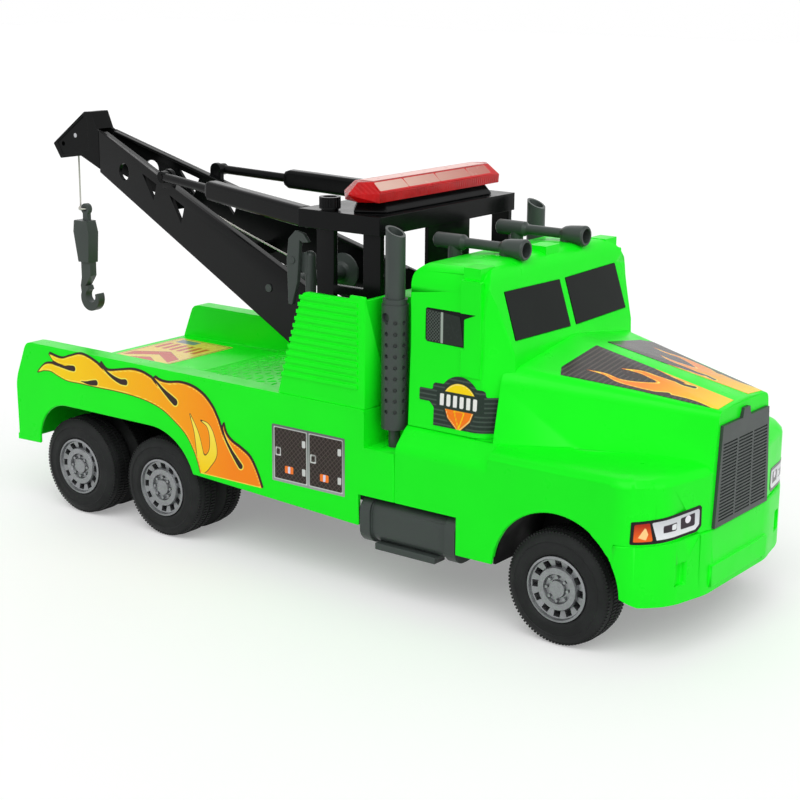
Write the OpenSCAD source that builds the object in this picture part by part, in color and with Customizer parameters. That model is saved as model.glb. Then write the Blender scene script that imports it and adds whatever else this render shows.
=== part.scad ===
// Toy tow truck: +X points to the front bumper, +Y to the truck's left side, +Z up.
// The origin is on the ground, below the middle of the whole toy. Millimetres.

/* [Wheels] */
// Radius of every tyre
wheel_r = 32; // [31:0.5:33]
// Radius of every rim, where the tyre sits
rim_r = 18.2; // [17:0.2:20]
// Width of a single front tyre
front_tyre_w = 23; // [20:0.5:25]
// Width of a twin rear tyre
rear_tyre_w = 44; // [41:0.5:45]
// Radius of each steel axle
axle_r = 2.5; // [2:0.1:3]
// Running clearance round an axle, a shaft or a pin
fit = 0.06; // [0.03:0.01:0.1]
// Distance that the wheels stand inside the flanks
wheel_inset = 2.3; // [1.5:0.1:4]
// Place of the front axle along the truck
front_axle_x = 197; // [195:0.5:199]
// Place of the rear axle along the truck
rear_axle_x = -169; // [-171:0.5:-167]
// Distance from the rear axle to the middle one
axle_pitch = 75; // [74:0.5:76]

/* [Body] */
// Half of the body's width over the flanks
half_w = 85; // [84:0.5:88]
// Wall of the moulded green shells
wall = 2.2; // [1.6:0.1:2.6]
// Height of the side walls beside the bed
wall_top_z = 110; // [108:0.5:112]
// Height of the sunk bed
bed_z = 86; // [85:0.5:90]
// Thickness of the side walls over the bed
side_wall_t = 12.5; // [10:0.5:14]
// Place of the rear end of the body
rear_x = -222.5; // [-226:0.5:-220]
// Place where the tread plate's ramp starts
ramp_x = -128; // [-134:1:-122]
// Top of the winch housing
housing_top_z = 172; // [170:0.5:175]
// Place of the winch housing's front wall
housing_front_x = 70; // [69.5:0.25:71]
// Depth of the ribs on the housing
rib_d = 0.8; // [0.4:0.1:1.2]
// Number of ribs on each side of the housing
rib_count = 12; // [8:1:13]

/* [Cab] */
// Place of the cab's rear wall
cab_x = 92; // [91:0.5:93]
// Half of the cab's width at the doors
cab_half_w = 72; // [70:0.5:73]
// Height of the crown of the roof
roof_z = 197; // [195:0.5:199]
// Foot of the windscreen along the truck
screen_x = 153.5; // [152:0.5:155]
// Lean of the windscreen over its height
screen_lean = 8.5; // [6:0.5:11]
// Place of the hood's front face
hood_x = 260.5; // [258:0.5:261]
// Height of the hood at its front edge
hood_front_z = 128.5; // [126:0.5:131]
// Height of the hood's ridge at the windscreen
hood_rear_z = 152; // [150:0.5:154]
// Half of the hood's width at its front edge
nose_half_w = 28.5; // [26:0.5:31]
// Place of the front bumper's face
bumper_x = 262.8; // [262:0.2:264]
// Top of the front bumper
bumper_top_z = 65.5; // [64:0.5:67]
// Bottom of the front bumper
bumper_bottom_z = 29; // [27:0.5:31]

/* [Gantry] */
// Half of the gantry platform's width
deck_half_w = 67.8; // [66:0.2:69]
// Height of the gantry platform's top
deck_top_z = 216; // [214:0.5:218]
// Depth of the platform's skirt
deck_h = 10.6; // [9:0.2:12]
// Width of a gantry post
post_w = 12.4; // [10:0.2:13]
// Thickness of a gantry side frame
frame_t = 4; // [3:0.2:5]
// Distance from the ground to the boom's pivot
pivot_z = 137; // [135:0.5:139]
// Radius of the boom's pivot pin
pivot_r = 3; // [2.4:0.1:3.4]

/* [Boom] */
// Thickness of the boom's side plates
plate_t = 2.6; // [2:0.1:3.2]
// Width of the flange along each side plate
flange_w = 6; // [4:0.25:7]
// Height of the side plates at the tip
tip_h = 28; // [26:0.5:30]
// Place of the boom's tip roller along the truck
roller_x = -241.5; // [-242.5:0.25:-240.5]
// Height of the tip roller
roller_z = 236; // [235:0.25:237]
// Radius of the tip roller's groove
roller_r = 4.6; // [4:0.1:5]
// Place of the winch drum along the truck
drum_x = -36; // [-37:0.25:-34]
// Height of the winch drum
drum_z = 160.6; // [159.5:0.1:161.5]
// Radius of the winch drum's flanges
drum_flange_r = 12; // [10:0.25:13]
// Radius of the winch drum's core
drum_core_r = 5; // [4.2:0.1:6]

/* [Tow gear] */
// Radius of the tow string
string_r = 0.6; // [0.5:0.05:0.8]
// Height of the knot on the hook's eye
knot_z = 185; // [183:0.5:187]
// Overall height of the tow hook
hook_h = 71; // [68:0.5:73]

/* [Trim] */
// Radius of a stack's perforated silencer
stack_r = 7.6; // [6.8:0.1:8]
// Radius of a stack's upper pipe
pipe_r = 5.6; // [4.8:0.1:6]
// Top of the slanted stacks
stack_top_z = 220; // [216:0.5:223]
// Radius of a roof horn's bell
bell_r = 6; // [5.4:0.1:6.6]
// Radius of a fuel tank's rounded edges
tank_r = 9; // [7:0.5:10]
// Length of a fuel tank
tank_len = 66; // [60:0.5:68]
// Radius of a knurled platform knob
knob_r = 6.2; // [5.4:0.1:6.4]
// Radius of a strut's sliding rod
rod_r = 2.8; // [2.4:0.1:3]
// Height of a strut's sleeve
sleeve_h = 12; // [10:0.25:12.5]
// Radius of a body screw's shank
screw_r = 1.4; // [1.1:0.1:1.7]

/* [Hidden] */
$fn = 48;

GREEN = [0.05, 0.95, 0.1];
BLACK = [0.08, 0.08, 0.09];
GREY = [0.28, 0.32, 0.3];
STEEL = [0.75, 0.76, 0.78];

// Overshoot of a cut, so that it leaves no skin
cut = 1;
// Face-to-face gap between parts that only rest on each other
seat = 0.1;

wheel_y = half_w - wheel_inset;
front_in_y = wheel_y - front_tyre_w;
rear_in_y = wheel_y - rear_tyre_w;
mid_axle_x = rear_axle_x + axle_pitch;

// Chassis tub and its plates
tub_half_w = rear_in_y - 5.7;
tub_z0 = 36;
tub_z1 = bed_z - wall - 4;
tub_x0 = -204;
tub_x1 = 244;
tub_wall = 2.4;
saddle_z0 = 23;
saddle_w = 16;
front_tub_z1 = 92;
screw_places = [[-194, 20], [-131, 20], [50, 20], [120, 20], [226, 20]];
boss_r = 4;

// Wheel arches
arch_r = 39.6;
arch_z = 35;
rear_arch_x0 = rear_axle_x - 32.6;
rear_arch_x1 = mid_axle_x + 32.7;
rear_arch_top = 72;
arch_corner_rear = 26;
arch_corner_front = 38;

// Ledge that the stacks stand on
ledge_z = 88;
housing_rear_x = 6;
housing_lean = 19;
recess_y = half_w - 25;
rib_z0 = 121;
lip_w = 11;

// Cab and windows
cab_z0 = 103.2;
screen_z0 = 156;
screen_z1 = 184;
screen_half_w = 58.5;
screen_gap = 3;
pane_t = 1.1;
sill_x = 158;
shoulder_z = 103;
crease_half_w = half_w - 19;
crease_z = 143;
ridge_half_w = 4;
pillar_z0 = 136;
door_x0 = 127;
door_x1 = 140;
window_z0 = 152;
window_z1 = 171;
window_x0 = 102.5;
ledge_front_z = 101.5;

// Gantry
post_rear_x = 20.6;
post_front_x = 54.2;
frame_y = 62;
platform_x0 = 8;
platform_x1 = 67.4;
pivot_x = post_rear_x + post_w / 2;
deck_skin = 2.2;
knob_pin_r = 1.5;
deck_z0 = deck_top_z - deck_h;
strut_pin_x = 14;
strut_pin_r = 0.9;

// Boom, set out from the rear end of its side plates
tip_x = -217.7;
tip_half_w = 8.2;
tip_top_z = 240.8;
boom_run = pivot_x - tip_x;
boom_half_w = 55.2;
plan_angle = atan((boom_half_w - tip_half_w) / boom_run);
top_slope = 0.348;
bottom_slope = 0.435;
base_r = 14;
head_half_w = tip_half_w;
head_t = 2.4;
head_pin_r = 1.5;
peg_gap = 0.4;

// Struts between the boom and the platform
lug_x = -138.6;
lug_z = 218;
lug_y = 27.2;
strut_y = 57;
strut_z = deck_z0 + 3.2;
strut_len = norm([strut_pin_x - lug_x, strut_y - lug_y, strut_z - lug_z]);
strut_turn = atan((strut_y - lug_y) / (strut_pin_x - lug_x));
strut_dip = asin((lug_z - strut_z) / strut_len);
sleeve_start = 49;
sleeve_w = 9.5;
lug_r = 4.6;
eye_r = 3.8;

// Winch
drum_half_w = 30;
drum_flange_t = 2.2;
shaft_r = 2.4;
crank_arm = 17;
lever_y = 60.9;
lever_t = 3;
lever_x = 0.5;
lever_z = 184.5;
lever_pin_r = 2;
post_x = 9;
post_y = 57.6;
post_r = 3.2;

// Tow gear
drop_x = roller_x - roller_r - string_r - 0.1;
knot_r = 1.7;
eye_in_r = 1.7;
eye_out_r = 3.9;
eye_x = drop_x + 5.8;
loop_r = (eye_in_r + eye_out_r) / 2;
hook_t = 8;

// Trim
stack_x = 81;
stack_y = 71;
stack_z0 = 99;
stack_z1 = 170;
pin_r = 3.4;
horn_x = 80;
horn_y = 31.5;
horn_z = 201;
tank_x = 67;
tank_z = 45;
bar_x = 48.5;
bar_half_w = 59.3;
bar_z = 222.6;

// ---------------------------------------------------------------- helpers

// A bar of round section along Y, from y0 to y1
module bar_y(r, x, z, y0, y1) {
  translate([x, y0, z]) rotate([-90, 0, 0]) cylinder(r = r, h = y1 - y0);
}

// A side outline, drawn in X and Z, as a slab from y0 to y1
module side_slab(y0, y1) {
  translate([0, y1, 0]) rotate([90, 0, 0]) linear_extrude(y1 - y0) children();
}

// A cross-section, drawn in Y and Z, as a length from x0 to x1
module long_slab(x0, x1) {
  translate([x0, 0, 0]) rotate([90, 0, 90]) linear_extrude(x1 - x0) children();
}

// The same shape on the truck's right (-1) or left (+1) side, drawn for the left
module on_side(s) {
  if (s > 0) children();
  else mirror([0, 1, 0]) children();
}

// Outline with eased corners: each row holds a corner and how far from it the curve starts
function eased(rows, steps = 5) = [for (i = [0 : len(rows) - 1]) let(
  n = len(rows), at = flat(rows[i]), reach = rows[i][2],
  from = at + reach * unit(flat(rows[(i + n - 1) % n]) - at),
  to = at + reach * unit(flat(rows[(i + 1) % n]) - at))
  each reach == 0 ? [at] : [for (k = [0 : steps]) let(t = k / steps)
    (1 - t) * (1 - t) * from + 2 * t * (1 - t) * at + t * t * to]];

function flat(row) = [row[0], row[1]];

function unit(v) = v / norm(v);

// Rows of an outline's left half, from foot to top, followed by their mirror image
function both_sides(rows) = let(last = len(rows) - 1)
  concat(rows, [for (i = [last : -1 : 0]) [-rows[i][0], rows[i][1], rows[i][2]]]);

// The same for a plan, whose width lies along Y
function both_flanks(rows) = let(last = len(rows) - 1)
  concat(rows, [for (i = [last : -1 : 0]) [rows[i][0], -rows[i][1], rows[i][2]]]);

module rounded_rect(w, h, r) {
  square([w - 2 * r, h], center = true);
  square([w, h - 2 * r], center = true);
  for (x = [-1, 1], y = [-1, 1]) translate([x * (w / 2 - r), y * (h / 2 - r)]) circle(r);
}

// ---------------------------------------------------------------- chassis

module saddle(x, inner_y) {
  for (s = [-1, 1])
    translate([x - saddle_w / 2, s > 0 ? inner_y - 7 : -inner_y, saddle_z0])
      cube([saddle_w, 7, wheel_r + 8 - saddle_z0]);
}

module axle_bore(x) {
  bar_y(axle_r + fit, x, wheel_r, -half_w, half_w);
}

module chassis() {
  liner_t = 1.6;
  front_in = front_in_y - 3.4;
  color(BLACK) difference() {
    union() {
      // Rear tub between the twin wheels
      translate([tub_x0, -tub_half_w, tub_z0])
        cube([cab_x - tub_x0, 2 * tub_half_w, tub_z1 - tub_z0]);
      // Front tub between the front wheels
      translate([cab_x - cut, -tub_half_w, tub_z0])
        cube([tub_x1 - cab_x + cut, 2 * tub_half_w, tub_z1 - tub_z0]);
      translate([cab_x + wall + 1, -tub_half_w, tub_z0])
        cube([tub_x1 - cab_x - wall - 1, 2 * tub_half_w, front_tub_z1 - tub_z0]);
      // Round liners over the front wheels
      intersection() {
        bar_y(arch_r + 3, front_axle_x, arch_z, -half_w + wall + 4.6, half_w - wall - 4.6);
        translate([front_axle_x - 60, -half_w, tub_z0]) cube([120, 2 * half_w, 60]);
      }
      // Front wheel boxes reach out towards the wheels
      translate([front_axle_x - 12, -front_in, tub_z0 - 8])
        cube([24, 2 * front_in, 22]);
      saddle(mid_axle_x, tub_half_w);
      saddle(rear_axle_x, tub_half_w);
      saddle(front_axle_x, front_in);
      // Liner over the rear wheels
      translate([rear_arch_x0 + 6, -half_w + wall + seat, rear_arch_top + 1.4])
        cube([rear_arch_x1 - rear_arch_x0 - 12, 2 * (half_w - wall - seat), liner_t]);
    }
    translate([tub_x0 + tub_wall, -tub_half_w + tub_wall, tub_z0 + tub_wall])
      cube([cab_x - tub_x0 - 2 * tub_wall, 2 * (tub_half_w - tub_wall), 60]);
    translate([cab_x + tub_wall, -tub_half_w + tub_wall, tub_z0 + tub_wall])
      cube([tub_x1 - cab_x - 2 * tub_wall, 2 * (tub_half_w - tub_wall), 80]);
    for (s = [-1, 1]) difference() {
      on_side(s) bar_y(arch_r + 1.4, front_axle_x, arch_z, tub_half_w, half_w);
      translate([front_axle_x - 12, -front_in, tub_z0 - 9]) cube([24, 2 * front_in, 23]);
      translate([front_axle_x - saddle_w / 2, -front_in, saddle_z0 - cut])
        cube([saddle_w, 2 * front_in, 40]);
    }
    for (x = [front_axle_x, mid_axle_x, rear_axle_x]) axle_bore(x);
    for (p = screw_places, s = [-1, 1])
      translate([p[0], s * p[1], tub_z0 - cut]) cylinder(r = screw_r + 0.3, h = tub_wall + 2 * cut);
  }
}

// Screws that clamp the shells to the tub, driven from below
module body_screws() {
  color(STEEL) for (p = screw_places, s = [-1, 1]) translate([p[0], s * p[1], 0]) {
    translate([0, 0, tub_z0 - 2]) cylinder(r = screw_r + 1.4, h = 2);
    translate([0, 0, tub_z0 - cut]) cylinder(r = screw_r, h = 12);
  }
}

// Boss that takes a body screw, from the tub's floor up to a shell's skin
module screw_boss(p, top_z) {
  for (s = [-1, 1]) translate([p[0], s * p[1], tub_z0 + tub_wall + seat])
    cylinder(r = boss_r, h = top_z - tub_z0 - tub_wall - seat);
}

// Space in the lower edge of both flanks for the fuel tanks
module tank_notch() {
  translate([tank_x - 1, -half_w - cut, 0]) cube([tank_len + 2, 2 * (half_w + cut), tank_z + 15]);
}

module screw_hole(p) {
  for (s = [-1, 1]) translate([p[0], s * p[1], tub_z0]) cylinder(r = screw_r, h = 13);
}

// ---------------------------------------------------------------- rear body

module flank_outline(x0, x1) {
  polygon(eased([[x0 - 1, 42, 0], [x0 - 1, 46, 0], [x0 + 0.6, 47, 0], [x0, 83, 6], [x0 + 11, wall_top_z, 5],
    [housing_front_x, wall_top_z, 0], [housing_front_x, ledge_z, 0], [x1, ledge_z, 0], [x1, 40, 0],
    [rear_arch_x1, 47, 0]]));
}

// Rounded wheel arch over the two rear axles
module rear_arch() {
  h = rear_arch_top;
  translate([rear_arch_x0, 0])
    square([rear_arch_x1 - rear_arch_x0, h - arch_corner_front]);
  translate([rear_arch_x0 + arch_corner_rear, 0])
    square([rear_arch_x1 - rear_arch_x0 - arch_corner_rear - arch_corner_front, h]);
  translate([rear_arch_x0, 0]) square([arch_corner_rear * 2, h - arch_corner_rear]);
  translate([rear_arch_x0 + arch_corner_rear, h - arch_corner_rear]) circle(arch_corner_rear);
  translate([rear_arch_x1 - arch_corner_front, h - arch_corner_front]) circle(arch_corner_front);
}

module rear_bed() {
  in_y = half_w - side_wall_t;
  color(GREEN) difference() {
    union() {
      difference() {
        side_slab(-half_w, half_w) flank_outline(rear_x, cab_x - seat);
        // Bed, sunk between the side walls and open to the rear
        translate([rear_x - cut, -in_y, bed_z])
          cube([-rear_x + cut, 2 * in_y, wall_top_z]);
        // Hollow under the bed and inside the side walls
        translate([rear_x + wall + 1, -half_w + wall, -cut])
          cube([cab_x - wall - rear_x - wall - 1, 2 * (half_w - wall), bed_z - wall + cut]);
        for (s = [-1, 1]) translate([rear_x + 15, s > 0 ? in_y + wall : -half_w + wall, 0])
          cube([-rear_x - 15 + housing_front_x - wall, side_wall_t - 2 * wall, wall_top_z - wall]);
        translate([wall, -in_y - wall, bed_z - 2 * wall])
          cube([housing_front_x - 2 * wall, 2 * (in_y + wall), wall_top_z - bed_z + wall]);
      }
      // Ramp with the tread plate
      side_slab(-in_y, in_y) polygon([[ramp_x, bed_z - wall], [ramp_x, bed_z + 2],
        [wall, wall_top_z - 1], [wall, bed_z - wall]]);
      for (p = screw_places) if (p[0] < cab_x) screw_boss(p, p[0] > 0 ? wall_top_z - cut : bed_z - cut);
    }
    side_slab(-half_w - cut, half_w + cut) rear_arch();
    tank_notch();
    for (s = [-1, 1]) translate([stack_x, s * stack_y, 0]) cylinder(r = pin_r, h = wall_top_z);
    for (p = screw_places) if (p[0] < cab_x) screw_hole(p);
    // Room for the front tub's end wall
    translate([cab_x - wall - cut, -tub_half_w - 1, -cut])
      cube([wall + 2 * cut, 2 * tub_half_w + 2, bed_z - wall + cut]);
  }
}

module housing_outline() {
  polygon(eased([[housing_rear_x, wall_top_z + seat, 0], [housing_rear_x + housing_lean, housing_top_z, 4],
    [housing_front_x, housing_top_z, 0], [housing_front_x, wall_top_z + seat, 0]]));
}

// Ribbed housing round the winch and the gantry's feet
module winch_housing() {
  skin_y = half_w - rib_d;
  pitch = (housing_top_z - rib_z0) / rib_count;
  color(GREEN) {
    difference() {
      union() {
        difference() {
          side_slab(-skin_y, skin_y) housing_outline();
          translate([housing_rear_x - cut, -skin_y + wall, wall_top_z - cut])
            cube([housing_front_x - wall - housing_rear_x + cut, 2 * (skin_y - wall),
              housing_top_z - wall_top_z + 2 * cut]);
        }
        // Block between the housing and the cab, beside the stacks
        translate([housing_front_x - cut, -recess_y, ledge_z + seat])
          cube([cab_x - seat - housing_front_x + cut, 2 * recess_y, housing_top_z - ledge_z - seat]);
        // Raised lip at the front of each side
        for (s = [-1, 1]) on_side(s)
          translate([housing_front_x - lip_w, skin_y - wall, housing_top_z - cut])
            cube([lip_w, wall, 2 + cut]);
      }
      translate([housing_front_x + wall, -recess_y + wall, ledge_z - cut])
        cube([cab_x - housing_front_x - 2 * wall - seat, 2 * (recess_y - wall),
          housing_top_z - ledge_z - wall + cut]);
      translate([housing_front_x - wall, -recess_y, ledge_z - cut])
        cube([wall + cut, 2 * recess_y, wall_top_z - ledge_z + cut + seat]);
    }
    for (i = [0 : rib_count - 1], s = [-1, 1]) {
      z = rib_z0 + i * pitch;
      x = housing_rear_x + housing_lean * (z - wall_top_z) / (housing_top_z - wall_top_z) - 0.6;
      on_side(s) translate([x, skin_y - 0.3, z])
        cube([housing_front_x - 5 - x, rib_d + 0.3, pitch * 0.5]);
    }
  }
}

// ---------------------------------------------------------------- front body

// Plan of the front fenders, from x0 to the nose
module fender_plan(inset, x0) {
  w = half_w - inset;
  x = hood_x - inset;
  polygon(eased(both_flanks([[x0, w, 0], [x - 21.5, w, 9], [x - 8.5, w - 13, 9], [x - 2, w - 42, 5],
    [x, nose_half_w + 5 - inset, 2.5]])));
}

// Cross-section of the shoulder under the doors, which flares out to the flanks
module shoulder_section(inset, floor_z) {
  w = half_w - inset;
  c = cab_half_w + 2 - inset;
  polygon(eased(both_sides([[-w, floor_z, 0], [-w, 92 - inset, 4], [-c, shoulder_z - inset, 3]])));
}

// Lower front body: upright sides, a rounded upper edge and a crown that rises to the hood
module fender_solid(floor_z) {
  top_z = ledge_front_z;
  long_slab(cab_x, sill_x) shoulder_section(0, floor_z);
  hull() for (layer = [[floor_z, 0], [top_z - 5, 0], [top_z - 1.6, 2.2], [top_z + 0.4, 7],
    [top_z + 2, 25]])
    translate([0, 0, layer[0]]) linear_extrude(0.1) fender_plan(layer[1], sill_x - 4);
}

// Hollow of the lower front body, which stops below the rounded upper edge
module fender_hollow(floor_z) {
  long_slab(cab_x + wall, sill_x) shoulder_section(wall, floor_z);
  translate([0, 0, floor_z]) linear_extrude(ledge_front_z - 6 - floor_z)
    fender_plan(wall + 0.6, sill_x - 4 + wall);
}

// Hood: a loft from the cab's width to the grille's, with soft creases and a flat ridge
module hood_block(inset) {
  foot = 90 - inset;
  hull() {
    translate([150 + inset, 0, 0]) rotate([90, 0, 90]) linear_extrude(0.1)
      polygon(eased(both_sides([[-half_w + 8 + inset, foot, 0],
        [-crease_half_w + inset, crease_z - inset, 9], [-ridge_half_w, hood_rear_z - inset, 0]])));
    translate([hood_x - 0.1 - inset, 0, 0]) rotate([90, 0, 90]) linear_extrude(0.1)
      polygon(eased(both_sides([[-nose_half_w - 5 + inset, foot, 0],
        [-nose_half_w + inset, hood_front_z - inset, 4], [-ridge_half_w, hood_front_z + 2 - inset, 0]])));
  }
}

module hood_shell() {
  color(GREEN) difference() {
    union() {
      fender_solid(38);
      hood_block(0);
    }
    difference() {
      union() {
        fender_hollow(30);
        hood_block(wall);
      }
      for (p = screw_places) if (p[0] > cab_x)
        screw_boss(p, p[0] > sill_x ? hood_front_z + 5.6 : shoulder_z - 1);
    }
    cab_form(-seat);
    for (p = screw_places) if (p[0] > cab_x) screw_hole(p);
    bar_y(arch_r, front_axle_x, arch_z, -half_w - cut, half_w + cut);
    // Room for the bumper and for the front tub
    translate([232, -half_w - cut, 0]) cube([50, 2 * (half_w + cut), bumper_top_z + seat]);
    translate([cab_x - cut, -tub_half_w - 1, -cut])
      cube([wall + 2 * cut, 2 * tub_half_w + 2, tub_z1 + 1 + cut]);
    tank_notch();
    // Seat of the grille
    translate([hood_x - 1, 0, 0]) grille_slab(0.15, 3);
  }
}

module bumper_plan(inset) {
  w = half_w - inset;
  x = bumper_x - inset;
  polygon(eased(both_flanks([[232, w, 0], [x - 19.8, w - 1, 8], [x - 7.8, w - 19, 9],
    [x - 1.6, w - 49, 6]])));
}

module front_bumper() {
  slot_w = 8;
  color(GREEN) difference() {
    union() {
      difference() {
        translate([0, 0, bumper_bottom_z])
          linear_extrude(bumper_top_z - bumper_bottom_z) bumper_plan(0);
        translate([-seat, 0, bumper_bottom_z - cut])
          linear_extrude(bumper_top_z - bumper_bottom_z + 2 * cut) bumper_plan(wall + 1);
      }
      // Step bar
      translate([bumper_x - 3, -33, 34]) cube([3, 66, 12]);
    }
    // Sloping underside towards the wheels
    side_slab(-half_w - cut, half_w + cut) polygon([[225, 0], [225, 40], [236, 37], [245, 32.6],
      [256, 31], [bumper_x + cut, bumper_bottom_z], [bumper_x + cut, 0]]);
    for (s = [-1, 1]) translate([254.6, s * 57 - slot_w / 2, 41]) cube([20, slot_w, 12]);
    bar_y(arch_r, front_axle_x, arch_z, -half_w - cut, half_w + cut);
  }
}

module grille_slab(grow, depth) {
  side = 27.8 + grow;
  long_slab(0, depth) polygon([[-side - 3.5, 66 - grow], [-side + 0.8, 121 + grow],
    [side - 0.8, 121 + grow], [side + 3.5, 66 - grow]]);
  long_slab(0, depth) polygon([[-5 - grow, 120], [-3.4 - grow, 126 + grow], [3.4 + grow, 126 + grow],
    [5 + grow, 120]]);
}

// Radiator grille: a plain head band over three columns of slats
module grille() {
  slats = 24;
  pitch = 43 / slats;
  color(GREY) difference() {
    translate([hood_x - 1, 0, 0]) grille_slab(0, 2.8);
    for (c = [-1, 0, 1], i = [0 : slats - 1]) {
      z = 69 + i * pitch;
      w = 17.2 - 1.2 * i / slats;
      translate([hood_x + 1, c * (w + 1.8) - w / 2, z]) cube([2, w, pitch * 0.5]);
    }
  }
}

// ---------------------------------------------------------------- cab

module cab_side(inset) {
  brow_x = screen_x - screen_lean;
  polygon(eased([[cab_x + inset, cab_z0 - cut, 0], [cab_x + inset, 189 - inset, 3],
    [cab_x + 6, roof_z - 3 - inset, 2.4], [cab_x + 28, roof_z - inset, 6],
    [brow_x - 8 - inset, roof_z - 0.6 - inset, 4.8], [brow_x - 3 - inset, 190 - inset, 2.4],
    [screen_x + 1.5 - inset, hood_rear_z - 2, 0], [screen_x + 4 - inset, cab_z0 - cut, 0]]));
}

module cab_section(inset) {
  w = cab_half_w - inset;
  polygon(eased(both_sides([[-w - 2, cab_z0 + inset, 0], [-w, 148, 0], [-w, 174, 4],
    [-w + 1.5, 186 - inset, 4], [-w + 7, 193 - inset, 4], [-w + 22, roof_z - inset, 8]])));
}

module cab_plan(inset) {
  w = cab_half_w + 2 - inset;
  polygon(eased(both_flanks([[cab_x + inset, w, 0], [door_x1 - inset, w, 5], [149 - inset, w - 8, 5],
    [screen_x + 4 - inset, w - 13, 2.5]])));
}

module cab_form(inset) {
  intersection() {
    side_slab(-half_w, half_w) cab_side(inset);
    long_slab(cab_x - cut, screen_x + 10) cab_section(inset);
    translate([0, 0, cab_z0 - cut]) linear_extrude(140) cab_plan(inset);
  }
}

// Outline of one windscreen pane, seen from the front
module pane_outline(s, grow) {
  polygon([[s * (screen_gap - grow), screen_z0 - grow], [s * (screen_half_w + grow), screen_z0 + 1 - grow],
    [s * (screen_half_w - 0.4 + grow), screen_z1 + grow], [s * (screen_gap - grow), screen_z1 - 1 + grow]]);
}

// Slab that lies in the windscreen's leaning plane
module screen_layer(depth, thick) {
  drop = hood_rear_z - 2;
  run = 190 - drop;
  lean_angle = atan((screen_lean + 4.5) / run);
  translate([screen_x + 1.5, 0, drop]) rotate([0, -lean_angle, 0])
    translate([-depth, 0, -drop]) long_slab(0, thick) children();
}

module windscreen(s) {
  color(BLACK) screen_layer(pane_t, pane_t + 0.3) pane_outline(s, -0.1);
}

module window_outline() {
  polygon([[window_x0, window_z0 + 1], [window_x0, window_z1 - 1], [window_x0 + 1, window_z1],
    [door_x1 - 3, window_z1 - 0.2], [door_x0 + 2, window_z1 - 3.5], [door_x0 + 2, window_z0 - 0.5],
    [window_x0 + 1, window_z0]]);
}

module side_window(s) {
  color(BLACK) on_side(s) side_slab(cab_half_w - pane_t, cab_half_w - 0.4) window_outline();
}

module cab_shell() {
  color(GREEN) difference() {
    union() {
      cab_form(0);
      // Raised door pillars and the lamp fairings on the roof
      for (s = [-1, 1]) on_side(s) {
        translate([door_x0, cab_half_w - 2, pillar_z0]) cube([door_x1 - door_x0, 3.6, 189 - pillar_z0]);
        translate([door_x0, cab_half_w - 14, 186]) cube([door_x1 - door_x0 - 2, 13, 9.6]);
      }
      translate([door_x0, -7, roof_z - 3]) cube([door_x1 - door_x0 - 2, 14, 5.6]);
    }
    cab_form(wall);
    translate([cab_x + wall, -cab_half_w + 16, cab_z0 - cut])
      cube([screen_x - cab_x - wall, 2 * (cab_half_w - 16), 8]);
    for (s = [-1, 1]) screen_layer(pane_t + seat, 5) pane_outline(s, 0);
    for (s = [-1, 1]) on_side(s) side_slab(cab_half_w - pane_t, cab_half_w + 9) window_outline();
  }
}

// ---------------------------------------------------------------- trim

// Exhaust stack: perforated silencer, slash-cut pipe and a pin in the ledge
module exhaust_stack(s) {
  color(GREY) translate([stack_x, s * stack_y, 0]) difference() {
    union() {
      translate([0, 0, stack_z0]) cylinder(r = stack_r, h = stack_z1 - stack_z0);
      translate([0, 0, stack_z1 - cut]) cylinder(r = stack_r - 0.6, h = 3 + cut);
      translate([0, 0, stack_z1]) cylinder(r = pipe_r, h = stack_top_z - stack_z1);
      translate([0, 0, ledge_z - 3]) cylinder(r = pin_r, h = stack_z0 - ledge_z + 3 + cut);
    }
    translate([0, 0, stack_z1 + 6]) cylinder(r = pipe_r - 1.4, h = 80);
    translate([-20, -20, stack_top_z]) rotate([0, 26, 0]) translate([-20, 0, 0]) cube([80, 40, 40]);
    for (i = [0 : 8], a = [-92, -52, -12])
      translate([0, 0, stack_z0 + 10.5 + 6.35 * i]) rotate([0, 90, s > 0 ? -a : a])
        translate([0, 0, stack_r - 1.2]) cylinder(r = 1.2, h = 3, $fn = 16);
    translate([0, 0, stack_z1 - 7]) rotate([0, 90, s > 0 ? 100 : -100])
      translate([0, 0, stack_r - 2.4]) cylinder(r = 2.8, h = 5);
  }
}

// Roof horn: rear drum, tube, cup mouth and two legs that follow the roof
module horn(s) {
  color(GREY) difference() {
    union() {
      translate([horn_x, s * horn_y, horn_z]) rotate([0, 90, 0]) rotate_extrude()
        polygon([[0, 0], [3.4, 0], [4.4, 1], [4.4, 19], [3.6, 20], [2.9, 21], [2.9, 44], [4.6, 47],
          [5.2, 50], [bell_r, 60], [bell_r - 0.6, 61], [0, 61]]);
      translate([horn_x + 13, s * horn_y, roof_z - 10]) cylinder(r = 4, h = horn_z - roof_z + 10);
      translate([horn_x + 48, s * horn_y, roof_z - 10]) cylinder(r = 4.2, h = horn_z - roof_z + 10);
    }
    translate([horn_x + 55, s * horn_y, horn_z]) rotate([0, 90, 0]) cylinder(r = bell_r - 1.8, h = 10);
    cab_form(-seat);
  }
}

// Fuel tank with end caps, a sunk middle and a step below
module fuel_tank(s) {
  in_y = half_w - 22;
  depth = 21.6;
  cap = 7;
  arm_len = in_y - tub_half_w - seat;
  color(GREY) on_side(s) translate([tank_x, in_y, tank_z]) {
    for (x = [0, tank_len - cap]) translate([x, 0, 0]) long_slab(0, cap)
      translate([depth / 2, 0]) rounded_rect(depth, 28, tank_r);
    long_slab(cap - cut, tank_len - cap + cut)
      translate([depth / 2 - 0.6, 0]) rounded_rect(depth - 2.4, 25.6, tank_r - 1);
    translate([10, depth / 2, -16]) cube([tank_len - 24, depth / 2 - 1, 4]);
    // Brackets that reach back to the chassis
    for (x = [tank_len * 0.15, tank_len * 0.75]) translate([x, -arm_len, -2]) cube([6, arm_len + 3, 8]);
  }
}

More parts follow.
